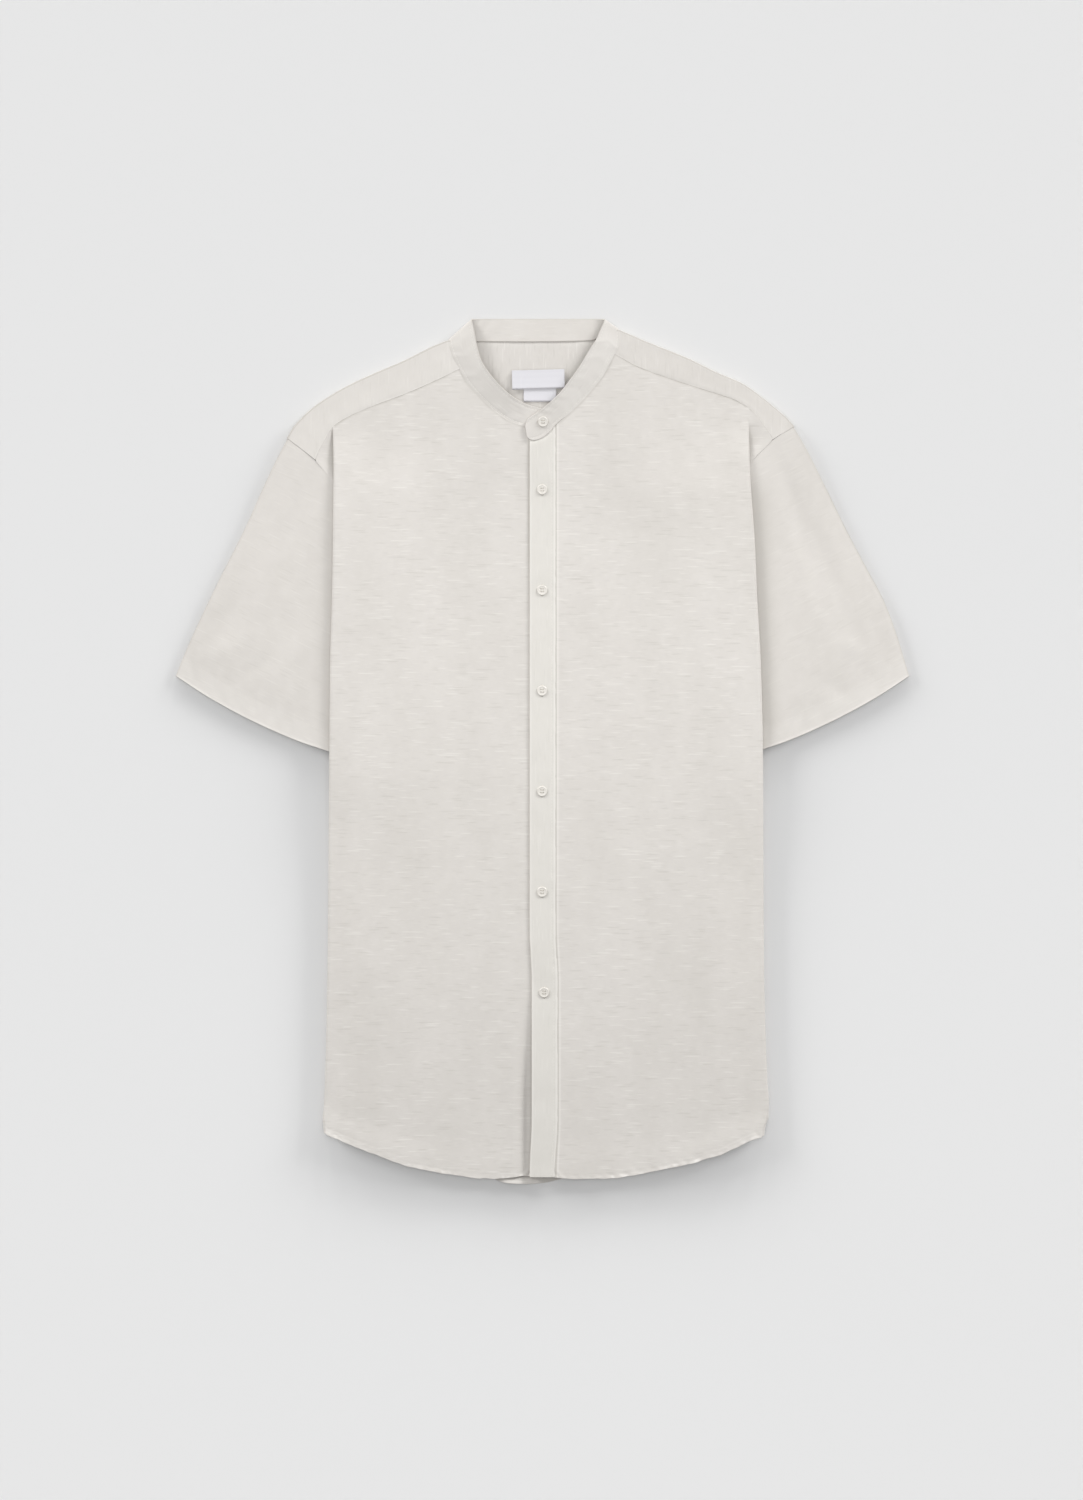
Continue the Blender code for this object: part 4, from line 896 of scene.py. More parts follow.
def sleeve_fold(plan_edge, plan_inside, high, low, turn):
    """The half turn from one layer to the other, round one edge: out by bulge x sin, high to low by cos."""
    way = unit(plan_edge - plan_inside)
    bulge = np.minimum(SLEEVE_EDGE_BULGE, (high - low) / 2)
    at = plan_edge[None] + (bulge[:, None] * way)[None] * np.sin(turn)[:, None, None]
    level = (high + low)[None] / 2 + (high - low)[None] / 2 * np.cos(turn)[:, None]
    return np.concatenate((at, level[..., None]), axis=-1)


sleeve_cloth = slub_linen("sleeve_slub_linen", "#D1CDC8", 0.42, SLUB_DARK)
across = np.concatenate(([0, 0.003], np.linspace(0, 1, 74)[1:]))
down = steps((12 * MM, 1.5 * MM), (SLEEVE_LONG - 26 * MM, 2.6 * MM), (SLEEVE_LONG - 4 * MM, 1.3 * MM),
             (SLEEVE_LONG, 0.65 * MM)) / SLEEVE_LONG
turn = np.linspace(0, 1, 9)[1:-1] * math.pi
sleeve_paths = []
for side, sign in SIDES.items():
    cap = along(ARMHOLE_SEAM[side], across) + (SEAM_GAP, -SEAM_GAP)
    hem = along(SLEEVE_HEM, across)
    outer = along(SLEEVE_OUTER_EDGE[side], down) - (SLEEVE_INSET, 0)
    lower = cap[-1] + (hem[-1] - cap[-1]) * down[:, None]
    outer[0] = cap[0] = cap[0] - (SLEEVE_INSET * 0.6, 0.6 * MM)
    hem[0] = outer[-1]
    plan = patch(cap, hem, outer, lower, across, down)
    x, y = plan[..., 0], plan[..., 1]
    front, back = sleeve_levels(x, y, side, down[None])
    from_hem = np.linalg.norm(plan - plan[:, -1:], axis=-1)
    seed = 40 if side == "right" else 50
    folded = creases(x, y, SLEEVE_CREASES[side])
    relief = folded + 0.10 * MM * ripple(x, y, 30, seed + 1)
    on_seam = np.linalg.norm(plan - plan[:1], axis=-1)
    relief += puckers(x, from_hem - TURN_UP + 3 * MM, 10, 2.6, 9, 0.34, seed + 2)
    relief += puckers(x, from_hem - 3 * MM, 8, 2.2, 5, 0.22, seed + 3)
    relief -= 0.05 * MM * bell(from_hem - SLEEVE_STITCH, 0.9 * MM)
    relief += 0.12 * MM * falling(from_hem, 2.6, 2.2)
    relief *= rising(on_seam, 0, 9) * 0.9 + 0.1
    relief -= 0.24 * MM * (1 - rising(on_seam, 0, 2.2))
    relief += puckers(x, on_seam - 4 * MM, 7, 2.0, 6, 0.24, seed + 4)
    turned_up = smooth((TURN_UP + 2 * MM - from_hem) / (5 * MM))
    relief -= SLEEVE_HEM_LOWER * turned_up
    thick = CLOTH + SLEEVE_HEM_THICKER * turned_up
    back_lift = (thick - CLOTH) / 2 + 0.5 * folded.clip(0)
    front_side = grid(x, y, front + relief)
    back_side = grid(x, y, back + back_lift)
    lower_turn = sleeve_fold(plan[-1], plan[-2], front_side[-1, :, 2], back_side[-1, :, 2], turn)
    upper_turn = sleeve_fold(plan[0], plan[1], front_side[0, :, 2], back_side[0, :, 2], turn)[::-1]
    points = np.concatenate((front_side, lower_turn, back_side[::-1], upper_turn))
    lower_thick = np.repeat(thick[-1:], len(turn), 0)
    upper_thick = np.repeat(thick[:1], len(turn), 0)
    walls = np.concatenate((thick, lower_thick, thick[::-1], upper_thick))
    points[..., 0] *= sign
    weft = points[..., 0] * math.cos(SLEEVE_WEFT) * sign + points[..., 1] * math.sin(SLEEVE_WEFT)
    warp = points[..., 1] * math.cos(SLEEVE_WEFT) - points[..., 0] * math.sin(SLEEVE_WEFT) * sign
    flat = grid(weft + 0.7 * sign, warp)
    # painted shade on the outer fold, painted highlights on the hem's edge here and there and on the
    # turned-up hem, and painted shadow beside the fold of the body
    uneven = 0.45 + 0.55 * ripple(x, y, 30, seed + 6).clip(-0.8, 1)
    sleeve_painted_light = uneven * 0.4 * falling(from_hem, 2.4, 1.2)
    sleeve_painted_light += SLEEVE_HEM_PAINTED_LIGHT * smooth((TURN_UP + 6 * MM - from_hem) / (14 * MM))
    beside_body = PAINTED_SHADOW_BESIDE_BODY[side] * ridge(x - side_fold(y, side), 3, 13)
    sleeve_painted_light -= beside_body * falling(y, 262, 30)
    sleeve_painted_light[:2] += SLEEVE_FOLD_SHADE
    turned = np.full((len(turn), len(down)), SLEEVE_FOLD_SHADE)
    painted_light = np.concatenate((sleeve_painted_light, 0 * turned, sleeve_painted_light[::-1], turned))
    made, upper = cloth_wall(f"sleeve_{side}_linen", points, walls, sleeve_cloth, uv=flat, ring=True,
                             painted_light=painted_light)
    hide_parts(f"sleeve_{side}")
    seen = upper[: len(across)]
    away = np.linalg.norm(seen - seen[:, -1:], axis=-1)
    column = np.argmin(np.abs(away - SLEEVE_STITCH), axis=1)
    inside_tuck = np.abs(seen[:, -1, 0]) > 196 * MM
    sleeve_paths.append(seen[np.arange(len(across)), column][inside_tuck])
stitched("sleeve_hem_stitches", sleeve_paths, thread, SUNK_IN_HEM)

# ----------------------------------------------------------
# Fronts. The same cloth, weft across. Each folds under at its side and is tucked in. At the top of the
# armhole it comes out again to the yoke and armhole seams. The right one runs on under the placket.
# ----------------------------------------------------------
MIDDLE_LEVEL = 4.4 * MM
TUCK_TOP = {"right": 302.5 * MM, "left": 307 * MM}
TUCK_RISES = 44 * MM  # over this height the fold below it comes up to its full level
TUCK_RIDGE = 38 * MM  # how far in from the fold the cloth comes up so soon, and the rest takes longer
TUCK_RISES_INSIDE = 70 * MM
# how strongly the cloth deep in each side fold is painted darker: painted shade
FOLD_SHADE = {"right": 1.1, "left": 0.8}
FOLD_DEPTH = {"right": 3.0 * MM, "left": 2.4 * MM}  # how far the cloth dips beside the top of the fold
FOLD_DEEPENS = {"right": 6 * MM, "left": 22 * MM}  # over what height from its top
OPEN_TO = {"right": 247 * MM, "left": 262 * MM}
LEVEL_SPAN = 150 * MM  # from the side fold in to where the front is down at its middle level
SIDE_FOLD_BULGE = 1.9 * MM
TUCK_SETTLES = 0.9 * MM  # how far the tucked part sinks on its way in
FOLD_INSET = 2.4 * MM  # from the fold's outermost line in to where it starts to turn
HEM_AT_FOLD = -355 * MM  # the height at which the hem meets the fold
HEM_STITCHES_UP = 5.2 * MM
HEM_HIGHER = 0.9 * MM  # how much higher the front lies at its hem than 40 mm above it
NECK_GAP = -0.3 * MM  # so it runs in under the band
PLACKET_GAP = -0.5 * MM
YOKE_GAP = -0.5 * MM  # and under the yoke, whose edge is turned and stitched over it
YOKE_SEAM_DIP = {"right": 0.14 * MM, "left": 0.26 * MM}
PLACKET_LEVEL = 5.3 * MM
PLACKET_TOP_LEVEL = 6.1 * MM
PLACKET_HEM_LIFT = 1.9 * MM
PLACKET_LEAN = 1.9 * MM
PLACKET_LEAN_FROM = -165 * MM
PLACKET_LEAN_TO = -392 * MM
PLACKET_LEAN_OVER = 50 * MM
UNDER_PLACKET = 1.45 * MM
# The front's hem, a shirt-tail curve: out, height
FRONT_HEM = {
    "right": (
        (-14, -394.8), (15, -394.6), (28, -395.6), (40, -397.0), (57, -396.8), (82, -393.7), (104, -390.0),
        (127, -384.9), (157, -374.0), (179, -365.5), (203, -354.8), (240, -338), (290, -317),
    ),
    "left": (
        (-14, -396.0), (11, -396.0), (27, -397.2), (56, -397.2), (84, -394.1), (105, -389.8), (130, -384.8),
        (152, -378.7), (170, -373.0), (185, -365.4), (206, -357.0), (240, -340), (290, -317),
    ),
}
NECK_SEAM = {
    "right": (
        (-12.6, 296.6), (2, 297.6), (16.4, 301.3), (30.6, 306.2), (43.4, 314.8), (57.7, 328.3),
        (70.5, 342.5), (77.5, 354.7),
    ),
    "left": (
        (12.4, 302.6), (23.5, 311.9), (34.9, 322.7), (46.2, 335.5), (56.3, 348.3), (62.5, 358.5),
        (67.1, 368.6),
    ),
}
# Soft waves and folds of the fronts: across, height, half width, half length, turn in degrees, lift
FRONT_CREASES = (
    (-162, 60, 22, 160, 0, 0.9), (-92, 150, 16, 90, 0, 0.5), (-60, -180, 20, 130, 0, 0.6),
    (-120, -260, 24, 90, 0, 0.7), (62, 40, 18, 110, 0, 0.6), (120, 20, 20, 170, 0, 0.8),
    (160, -170, 20, 120, 0, 0.8), (84, -250, 22, 100, 0, 0.7), (26, 159.5, 1.6, 17, 84, -0.35),
    (26, 162.5, 2.2, 17, 84, 0.25),
)
# How the right front drops beside the placket towards the hem, where the placket stands clear of it
VALLEY_DROP = 3.7 * MM
VALLEY_FROM = -215 * MM
VALLEY_OVER = 120 * MM


def placket_lean(height):
    """The placket's gentle bow: lean x smooth(down from where it starts) x smooth(up from where it ends)."""
    begun = smooth((PLACKET_LEAN_FROM - height) / PLACKET_LEAN_OVER)
    return PLACKET_LEAN * begun * smooth((height - PLACKET_LEAN_TO) / PLACKET_LEAN_OVER)


def placket_level(height):
    """Higher at the collar, level down the chest, and lifting again towards the hem."""
    top = (PLACKET_TOP_LEVEL - PLACKET_LEVEL) * rising(height, 230, 50)
    return PLACKET_LEVEL + top + PLACKET_HEM_LIFT * falling(height, -190, 130)


def front_hem(out, side):
    """The shirt-tail curve through the table."""
    table = np.array(FRONT_HEM[side]) * MM
    return through(out, *table.T)


def front_level(out, height, side):
    """The level of the front's top layer: high over the tuck, low at the middle, flat towards the neck."""
    fold = side_fold(height, side)
    rise = tuck(np.minimum(height, TUCK[0, 0]))[1] - NECK_LEVEL
    quick = smooth((TUCK_TOP[side] - height) / TUCK_RISES)
    slow = smooth((TUCK_TOP[side] - height) / TUCK_RISES_INSIDE)
    middle = MIDDLE_LEVEL + (NECK_LEVEL - MIDDLE_LEVEL) * rising(height, 190, 110)
    level = middle + (NECK_LEVEL + rise * slow - middle) * (1 - smooth((fold - out) / LEVEL_SPAN))
    level = level + rise * (quick - slow) * (1 - smooth((fold - out) / TUCK_RIDGE))
    at_centre = placket_level(height) - (UNDER_PLACKET if side == "right" else 0)
    towards_centre = 1 - rising(out, 14, 30)
    return level + (at_centre - level) * towards_centre


def ramp(at, start, over):
    """0 up to start, 1 from start + over on, and straight between."""
    return np.clip((at - start) / over, 0, 1)


def tucked_side(side, share, column, layer_end, start_height, open_share, close_step):
    """The side of a front beyond its top layer, by share down and by column, from 0 at the fold to 15.

    Below the opening: a half turn over columns 0 to 5, then straight in to the side seam by column 9. Beside
    it the cloth dips and goes in a few millimetres only, turns back by column 9 and runs out to the yoke and
    armhole seams by column 15. Above the top of the tuck it lies flat, and below the opening it closes over
    one close_step.
    """
    sign = SIDES[side]
    base = np.abs(layer_end[:, :1])
    height = layer_end[:, 1:2]
    over = layer_end[:, 2:3]
    share = share[:, None]
    column = column[None]
    turn = ramp(column, 0, 5) * math.pi
    turn_back = ramp(column, 7.4, 1.6) * math.pi
    to_seam = ramp(column, 9, 6)
    opening = ramp(share, 0, open_share)
    formed = smooth((TUCK_TOP[side] - height) / (6 * MM))

    fall = 2.2 * MM * (1 - smooth(4 * opening))
    past_corner = height - fall < YOKE_SEAM[side][-1][1] * MM
    at_armhole = read_off(ARMHOLE_SEAM[side], height, 1) + 0.3 * MM
    at_yoke = read_off(YOKE_SEAM[side], height - fall, 1) - 0.2 * MM
    deep = (1 + 5 * opening) * MM * formed
    reach = np.maximum(np.where(past_corner, at_armhole, at_yoke), base - deep + 2.6 * MM)
    low = SLEEVE_FRONT_IN_TUCK + 0.2 * MM + (NECK_LEVEL - SLEEVE_FRONT_IN_TUCK) * (1 - smooth(2 * opening))
    rounded = SIDE_FOLD_BULGE * np.sin(ramp(column, 0, 2.5) * math.pi / 2)
    flat_out = base + rounded + 0.2 * MM * ramp(column, 2.5, 6.5)
    flat_out = flat_out + (reach - flat_out) * to_seam
    unfolded = grid(sign * flat_out, height - fall * to_seam, over + (low - over) * smooth(to_seam))
    drawn_in = deep * ramp(column, 5, 2.4)
    folded_out = base + SIDE_FOLD_BULGE * np.sin(turn) - drawn_in - 0.8 * MM * np.sin(turn_back)
    folded_out = folded_out + (reach - base + deep) * to_seam
    deepened = smooth((TUCK_TOP[side] - height) / FOLD_DEEPENS[side]) * (1 - 0.55 * smooth(1.3 * opening))
    lowest = low - FOLD_DEPTH[side] * deepened * (1 - smooth((to_seam - 0.2) / 0.8))
    sunk = 0.55 * (1 - np.cos(turn)) / 2 + 0.45 * (1 - np.cos(turn_back)) / 2
    folded_level = over - (over - lowest) * sunk
    folded = grid(sign * folded_out, height - fall * to_seam, folded_level)
    beside_opening = unfolded * (1 - formed[..., None]) + folded * formed[..., None]

    depth, _, under = tuck(height)
    inwards = ramp(column, 5, 4)
    out = base + SIDE_FOLD_BULGE * np.sin(turn) - inwards * (depth - FOLD_INSET)
    level = (over + under) / 2 + (over - under) / 2 * np.cos(turn)
    level = level - TUCK_SETTLES * smooth((depth - FOLD_INSET) * inwards / TUCK_DEPTH)
    travelled = side_fold(height, side) + inwards * depth
    y = start_height - (start_height - front_hem(travelled, side)) * share
    tucked = grid(sign * out, y, level)

    closed = ramp(share, open_share, close_step)[..., None]
    return beside_opening * (1 - closed) + tucked * closed


hem_paths = []
for side, sign in SIDES.items():
    neck = np.array(NECK_SEAM[side]) * MM
    yoke_seam = np.array(YOKE_FRONT_SEAM[side]) * MM
    corner = neck[-1, 0]
    start_height = yoke_seam[-1, 1] - SEAM_GAP
    length = start_height - front_hem(side_fold(HEM_AT_FOLD, side), side)
    open_share = (start_height - OPEN_TO[side]) / length
    close_step = 10 * MM / length
    share = steps((6 * MM, 0.8 * MM), (length - 34 * MM, 2.7 * MM), (length - 11 * MM, 1.9 * MM),
                  (length, 1.0 * MM)) / length

    fold_start = yoke_seam[-1, 0] - FOLD_INSET
    inner = neck[0, 0] + (SEAM_GAP if side == "right" else PLACKET_GAP)
    wide = fold_start - inner
    outs = inner + steps((5 * MM, 0.7 * MM), (22 * MM, 2.3 * MM), (29 * MM, 0.8 * MM),
                         (wide - 8 * MM, 2.3 * MM), (wide, 1.3 * MM))
    seam = np.where(outs < corner, through(outs, *neck.T), read_off(YOKE_SEAM[side], outs, 0))
    gap = np.where(outs < corner - 1 * MM, NECK_GAP, YOKE_GAP)
    seam = seam - gap * np.hypot(1, np.gradient(seam, outs))
    share_out = (outs - inner) / wide
    hem_out = inner + share_out * (side_fold(HEM_AT_FOLD, side) - FOLD_INSET - inner)
    seed = 60 if side == "right" else 70
    bottom = front_hem(hem_out, side) + 0.4 * MM * ripple(hem_out, 0.0, 15, seed + 4)
    height = seam + (bottom - seam) * share[:, None]
    fold_now = side_fold(height, side) - FOLD_INSET
    out = inner + share_out * (fold_now - inner) + placket_lean(height) * sign * (1 - share_out)
    x = sign * out
    level = front_level(out, height, side) + HEM_HIGHER * falling(height - bottom, 40, 40)

    from_hem = (height - bottom) / np.hypot(1, np.gradient(bottom, outs))
    from_seam = (seam - height) / np.hypot(1, np.gradient(seam, outs))
    away_from_fold = smooth((side_fold(height, side) - out) / (14 * MM))
    relief = creases(x, height, FRONT_CREASES)
    relief += 0.10 * MM * ripple(x, height, 46, seed + 1, 1.6) * away_from_fold
    lively = 0.25 + 0.75 * smooth(0.5 + 0.8 * ripple(out, 0 * out, 80, seed + 4))
    slanting = out + 0.7 * from_hem
    relief += lively * puckers(slanting, from_hem - 2 * MM, 5.5, 1.5, 3.6, 0.55, seed + 2)
    curl = lively * (0.2 + 1.1 * ripple(out, 0 * out, 7, seed + 5).clip(0)) * MM
    relief += curl * falling(from_hem, 3.4, 3)
    relief -= 0.22 * MM * smooth((HEM_WIDTH + 2 * MM - from_hem) / (4 * MM))
    relief -= 0.03 * MM * bell(from_hem - HEM_STITCHES_UP, 0.9 * MM)
    dip = YOKE_SEAM_DIP[side] * (0.8 + 0.5 * ripple(out, 0 * out, 12, seed + 7)).clip(0.2, 1.3)
    relief -= dip * falling(from_seam, 2.1, 2.1) * smooth((out - corner) / (4 * MM))
    relief += puckers(out, from_seam, 8, 2.2, 6, 0.14, seed + 3) * rising(from_seam, 0, 2)
    # the narrow hem flips up a little, with a shallow trough above it
    relief -= 0.35 * MM * ridge(from_hem, 24, 10) * rising(out, 60, 90)
    if side == "right":
        beside = rising(x, -27, 14)
        relief -= beside * VALLEY_DROP * smooth((VALLEY_FROM - height) / VALLEY_OVER)
    layer = grid(x, height, level + relief)

    column = np.concatenate((np.linspace(0, 5, 13)[1:], np.linspace(5, 9, 20)[1:],
                             np.linspace(9, 15, 13)[1:]))
    side_part = tucked_side(side, share, column, layer[:, -1], start_height, open_share, close_step)
    points = np.concatenate((layer, side_part), axis=1)
    last_open = int(np.searchsorted(share, open_share))
    seen_columns = layer.shape[1] + int(np.sum(column <= 9))
    keep = np.ones((len(share) - 1, points.shape[1] - 1), bool)
    keep[last_open:, seen_columns - 1 :] = False
    up_from_hem = (1 - share[:, None]) * length
    thick = CLOTH + (HEM - CLOTH) * smooth((HEM_WIDTH + 0.4 * MM - up_from_hem) / (1 * MM))
    # painted highlights on the hem's edge in places and a little on its corner, painted shade beside the
    # yoke's seam
    uneven = 0.5 * ripple(out, 0.5 * height, 18, seed + 6) + 0.9 * ripple(out, height, 6, seed + 8)
    front_painted_light = 1.4 * lively * uneven.clip(0, 1) * falling(from_hem, 3.6, 1.8)
    front_painted_light += 0.12 * rising(out, 172, 22) * (1 - rising(from_hem, 0, 26))
    waver = 0.7 + 0.6 * ripple(out, 0 * out, 14, seed + 7)
    beside_seam = 0.45 + 0.3 * smooth((out - corner) / (3 * MM)) * waver
    front_painted_light -= beside_seam * ridge(from_seam, 0.8, 1.0)
    # beside the placket: painted shadow and painted highlight lines along its seam, painted shadow along its
    # free edge
    from_placket = x - placket_lean(height)
    if side == "left":
        front_painted_light += 0.6 * ridge(from_placket, 14.1, 0.8)
        front_painted_light -= 0.9 * ridge(from_placket, 12.5, 0.7)
    else:
        higher = 0.3 + 0.5 * rising(height, 120, 90)
        front_painted_light -= higher * ridge(from_placket, -12.7, 0.9)
    painted_light = np.zeros(points.shape[:2])
    painted_light[:, : layer.shape[1]] = front_painted_light
    # painted shade deep in the side fold, below the top of the tuck
    deep_in = np.where(column < 9, 1, 1 - smooth((column - 9) / 4.5)) * smooth(column / 5)
    below_top = smooth((TUCK_TOP[side] - height[:last_open, -1:]) / FOLD_DEEPENS[side])
    painted_light[:last_open, layer.shape[1] :] -= FOLD_SHADE[side] * deep_in * below_top
    made, upper = cloth_wall(f"front_{side}_linen", points, thick, cloth, keep=keep, painted_light=painted_light)
    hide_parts(f"front_{side}")
    hem_paths.append(stitch_row(upper, 1 - HEM_STITCHES_UP / length, share)[: layer.shape[1] + 4])
stitched("front_hem_stitches", hem_paths, thread, SUNK_IN_HEM)

# ----------------------------------------------------------
# Placket. A strip of the same cloth with an interlining, folded 24 mm wide and stitched along its seam with
# the left front. Its folded free edge stands a little above the right front. Its weft runs down it.
# ----------------------------------------------------------
PLACKET_WIDTH = 24.2 * MM
PLACKET_THICK = 1.5 * MM
PLACKET_ROUND = 0.5 * MM  # how far its folded free edge rounds out
PLACKET_BOTTOM = -395.4 * MM
PLACKET_UNDER_BAND = 1.6 * MM  # how far its top runs up under the band, dipping by the next
PLACKET_DIP = 1.0 * MM
PLACKET_LONG = 0.685
PLACKET_EDGE_RAISED = 0.5 * MM  # how much higher its free edge stands at the hem
BUTTON_PRESSES = 0.24 * MM  # how far it gives way round each button
PLACKET_STITCH = 3.4 * MM  # from its seam in to the topstitching
TAB_SEAM = ((-12.1, 286.9), (-4.3, 288.5), (0.7, 291.0), (4.9, 293.9), (8.8, 298.0), (12.1, 302.3))
BUTTON_HEIGHTS = 242.7 * MM - np.arange(6) * (93.4 * MM)

placket_linen = slub_linen("placket_linen", "#D6D3CD", 0.5, "#C5C2BB")
share = steps((PLACKET_LONG - 8 * MM, 2.2 * MM), (PLACKET_LONG, 1.0 * MM)) / PLACKET_LONG
across = (steps((4 * MM, 0.6 * MM), (20.2 * MM, 1.15 * MM),
                (PLACKET_WIDTH, 0.6 * MM)) - PLACKET_WIDTH / 2)[None]
across = across * (1 - PLACKET_ROUND / PLACKET_WIDTH) + PLACKET_ROUND / 2
tab = np.array(TAB_SEAM) * MM
top = through(across, *tab.T) + PLACKET_UNDER_BAND
height = top + (PLACKET_BOTTOM - top) * share[:, None]
x = across + placket_lean(height)
raised = smooth(-across / (PLACKET_WIDTH / 2)) * PLACKET_EDGE_RAISED * falling(height, -190, 130)
level = placket_level(height) + raised
level = level - PLACKET_DIP * (1 - smooth((top - height) / (3.2 * MM)))
from_edge = PLACKET_WIDTH / 2 - across
level = level - 0.22 * MM * bell(from_edge - PLACKET_STITCH, 0.9 * MM) - 0.35 * MM * bell(from_edge, 0.9 * MM)
level = level + puckers(height, from_edge - 1.5 * MM, 7, 1.8, 3, 0.12, 80)
level = level + 0.14 * MM * ripple(x, height, 40, 83, 0.7)
for at in BUTTON_HEIGHTS:
    level = level - BUTTON_PRESSES * bell(np.hypot(x, height - at), 8 * MM)
# painted highlights along both edges
painted_light = 0.5 * ridge(from_edge, 1.1, 0.7) + 0.4 * bell(PLACKET_WIDTH - from_edge - 1.1 * MM, 0.7 * MM)
placket, placket_top = cloth_wall("placket_linen", grid(x, height, level), PLACKET_THICK, placket_linen,
                                  uv=grid(height, x), painted_light=painted_light)
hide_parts("placket")
column = int(np.argmin(np.abs(from_edge[0] - PLACKET_STITCH)))
stitched("placket_stitches", [placket_top[4:, column]], thread)

# ----------------------------------------------------------
# Collar band. Two plies and an interlining, about 20 mm high, round the neck. It stands up from the front
# and lies flat behind, and its left end is a rounded tab buttoned over its right one.
# ----------------------------------------------------------
BAND_THICK = 1.4 * MM
BAND_HEIGHT = 20.5 * MM
BAND_STITCH = 2.4 * MM  # from either edge in to the topstitching
TAB_CORNER = 6.2 * MM
BAND_OVER_SEAM = 0.8 * MM
# One row for each section from the end under the tab round the neck to the tab: the seam's place across, its
# height and level, and the free edge's place across, its height and level
COLLAR_BAND = MM * np.array((
    (12.0, 297.4, 3.9, 13.0, 317.6, 4.1), (-2.0, 298.4, 3.9, 1.5, 317.8, 4.2),
    (-16.4, 302.0, 4.3, -9.0, 319.8, 5.2), (-30.6, 307.0, 4.9, -20.5, 324.4, 7.6),
    (-43.4, 315.6, 5.5, -31.0, 331.2, 9.6), (-57.7, 329.0, 6.0, -41.5, 340.9, 11.0),
    (-69.8, 343.4, 6.2, -51.0, 352.3, 11.6), (-76.8, 355.8, 6.2, -57.3, 363.0, 11.6),
    (-82.8, 367.6, 6.3, -61.2, 377.0, 11.3), (-85.9, 377.0, 6.1, -63.8, 391.0, 10.4),
    (-86.6, 382.0, 5.0, -65.8, 400.0, 7.6), (-82.0, 383.0, 1.9, -62.5, 401.2, 3.4),
    (-60.0, 381.6, 2.3, -50.0, 401.3, 2.3), (-8.0, 381.4, 2.4, -6.0, 401.3, 2.0),
    (44.0, 382.4, 2.2, 42.0, 401.3, 2.3), (59.5, 390.2, 1.9, 52.0, 401.2, 3.4),
    (69.4, 392.2, 5.0, 57.6, 400.0, 7.8), (70.4, 382.8, 6.1, 54.0, 391.0, 10.3),
    (69.6, 375.2, 6.3, 49.6, 381.0, 11.3), (65.8, 368.2, 6.3, 44.0, 372.4, 11.8),
    (55.4, 348.8, 6.1, 34.6, 356.6, 12.0), (45.4, 336.2, 6.0, 26.8, 345.8, 11.8),
    (34.2, 323.6, 6.0, 17.6, 333.8, 11.0), (22.8, 312.8, 6.1, 8.0, 324.2, 10.0),
    (11.6, 303.6, 6.3, -1.4, 316.4, 8.9), (5.2, 295.2, 6.4, -7.0, 312.6, 8.2),
    (-3.8, 289.6, 6.5, -11.4, 309.6, 7.7), (-13.6, 287.9, 6.6, -16.4, 305.2, 7.3),
))


def band_point(section, up):
    """A point of the band: seam + (free edge - seam) x up, both smooth curves through the table's rows."""
    count = np.arange(len(COLLAR_BAND))
    at = np.asarray(section) * (len(COLLAR_BAND) - 1)
    both = grid(*[through(at, count, part) for part in COLLAR_BAND.T])
    return both[..., :3] + (both[..., 3:] - both[..., :3]) * np.asarray(up)[..., None]


# its ground is a little paler than the body's: partly its own interlined cloth, partly painted light for its
# tilted faces
band_linen = slub_linen("band_linen", "#D5D1CC", 0.6, "#C3BFB8")
up = steps((3.4 * MM, 0.55 * MM), (17.1 * MM, 1.1 * MM), (BAND_HEIGHT, 0.55 * MM)) / BAND_HEIGHT
sections = np.concatenate((np.linspace(0, 0.97, 330), np.linspace(0.97, 1.0, 16)[1:]))
from_edge = np.minimum(up, 1 - up) * BAND_HEIGHT
cut = TAB_CORNER - np.sqrt(TAB_CORNER**2 - np.maximum(TAB_CORNER - from_edge, 0) ** 2)
last_section = 10 * MM * (len(COLLAR_BAND) - 1)
near_end = smooth((sections - 0.9) / 0.1)[:, None]
section = sections[:, None] * (1 - near_end * cut[None] / last_section)
past_seam = BAND_OVER_SEAM / BAND_HEIGHT * smooth((0.925 - sections) / 0.035)[:, None]
points = band_point(section, up * (1 + past_seam) - past_seam)
# the band is stiff: its levels are evened out along it, by a bell 8 mm wide
evened = bell(sections[:, None] - sections[None], 8 * MM / 0.36)
points[..., 2] = evened @ points[..., 2] / evened.sum(axis=1)[:, None]
run = run_along(points[:, len(up) // 2])[:, None]
behind = bell(sections[:, None] - 0.48, 0.25)
for from_line in (up * BAND_HEIGHT, (1 - up) * BAND_HEIGHT):
    points[..., 2] -= 0.14 * MM * bell(from_line - BAND_STITCH, 0.7 * MM) * (1 - 0.9 * behind)
    points[..., 2] += puckers(run + 0.5 * from_line, from_line - 4 * MM, 9, 2.6, 6, 0.16, 91)
flat = grid(run, up * BAND_HEIGHT + 0.3)
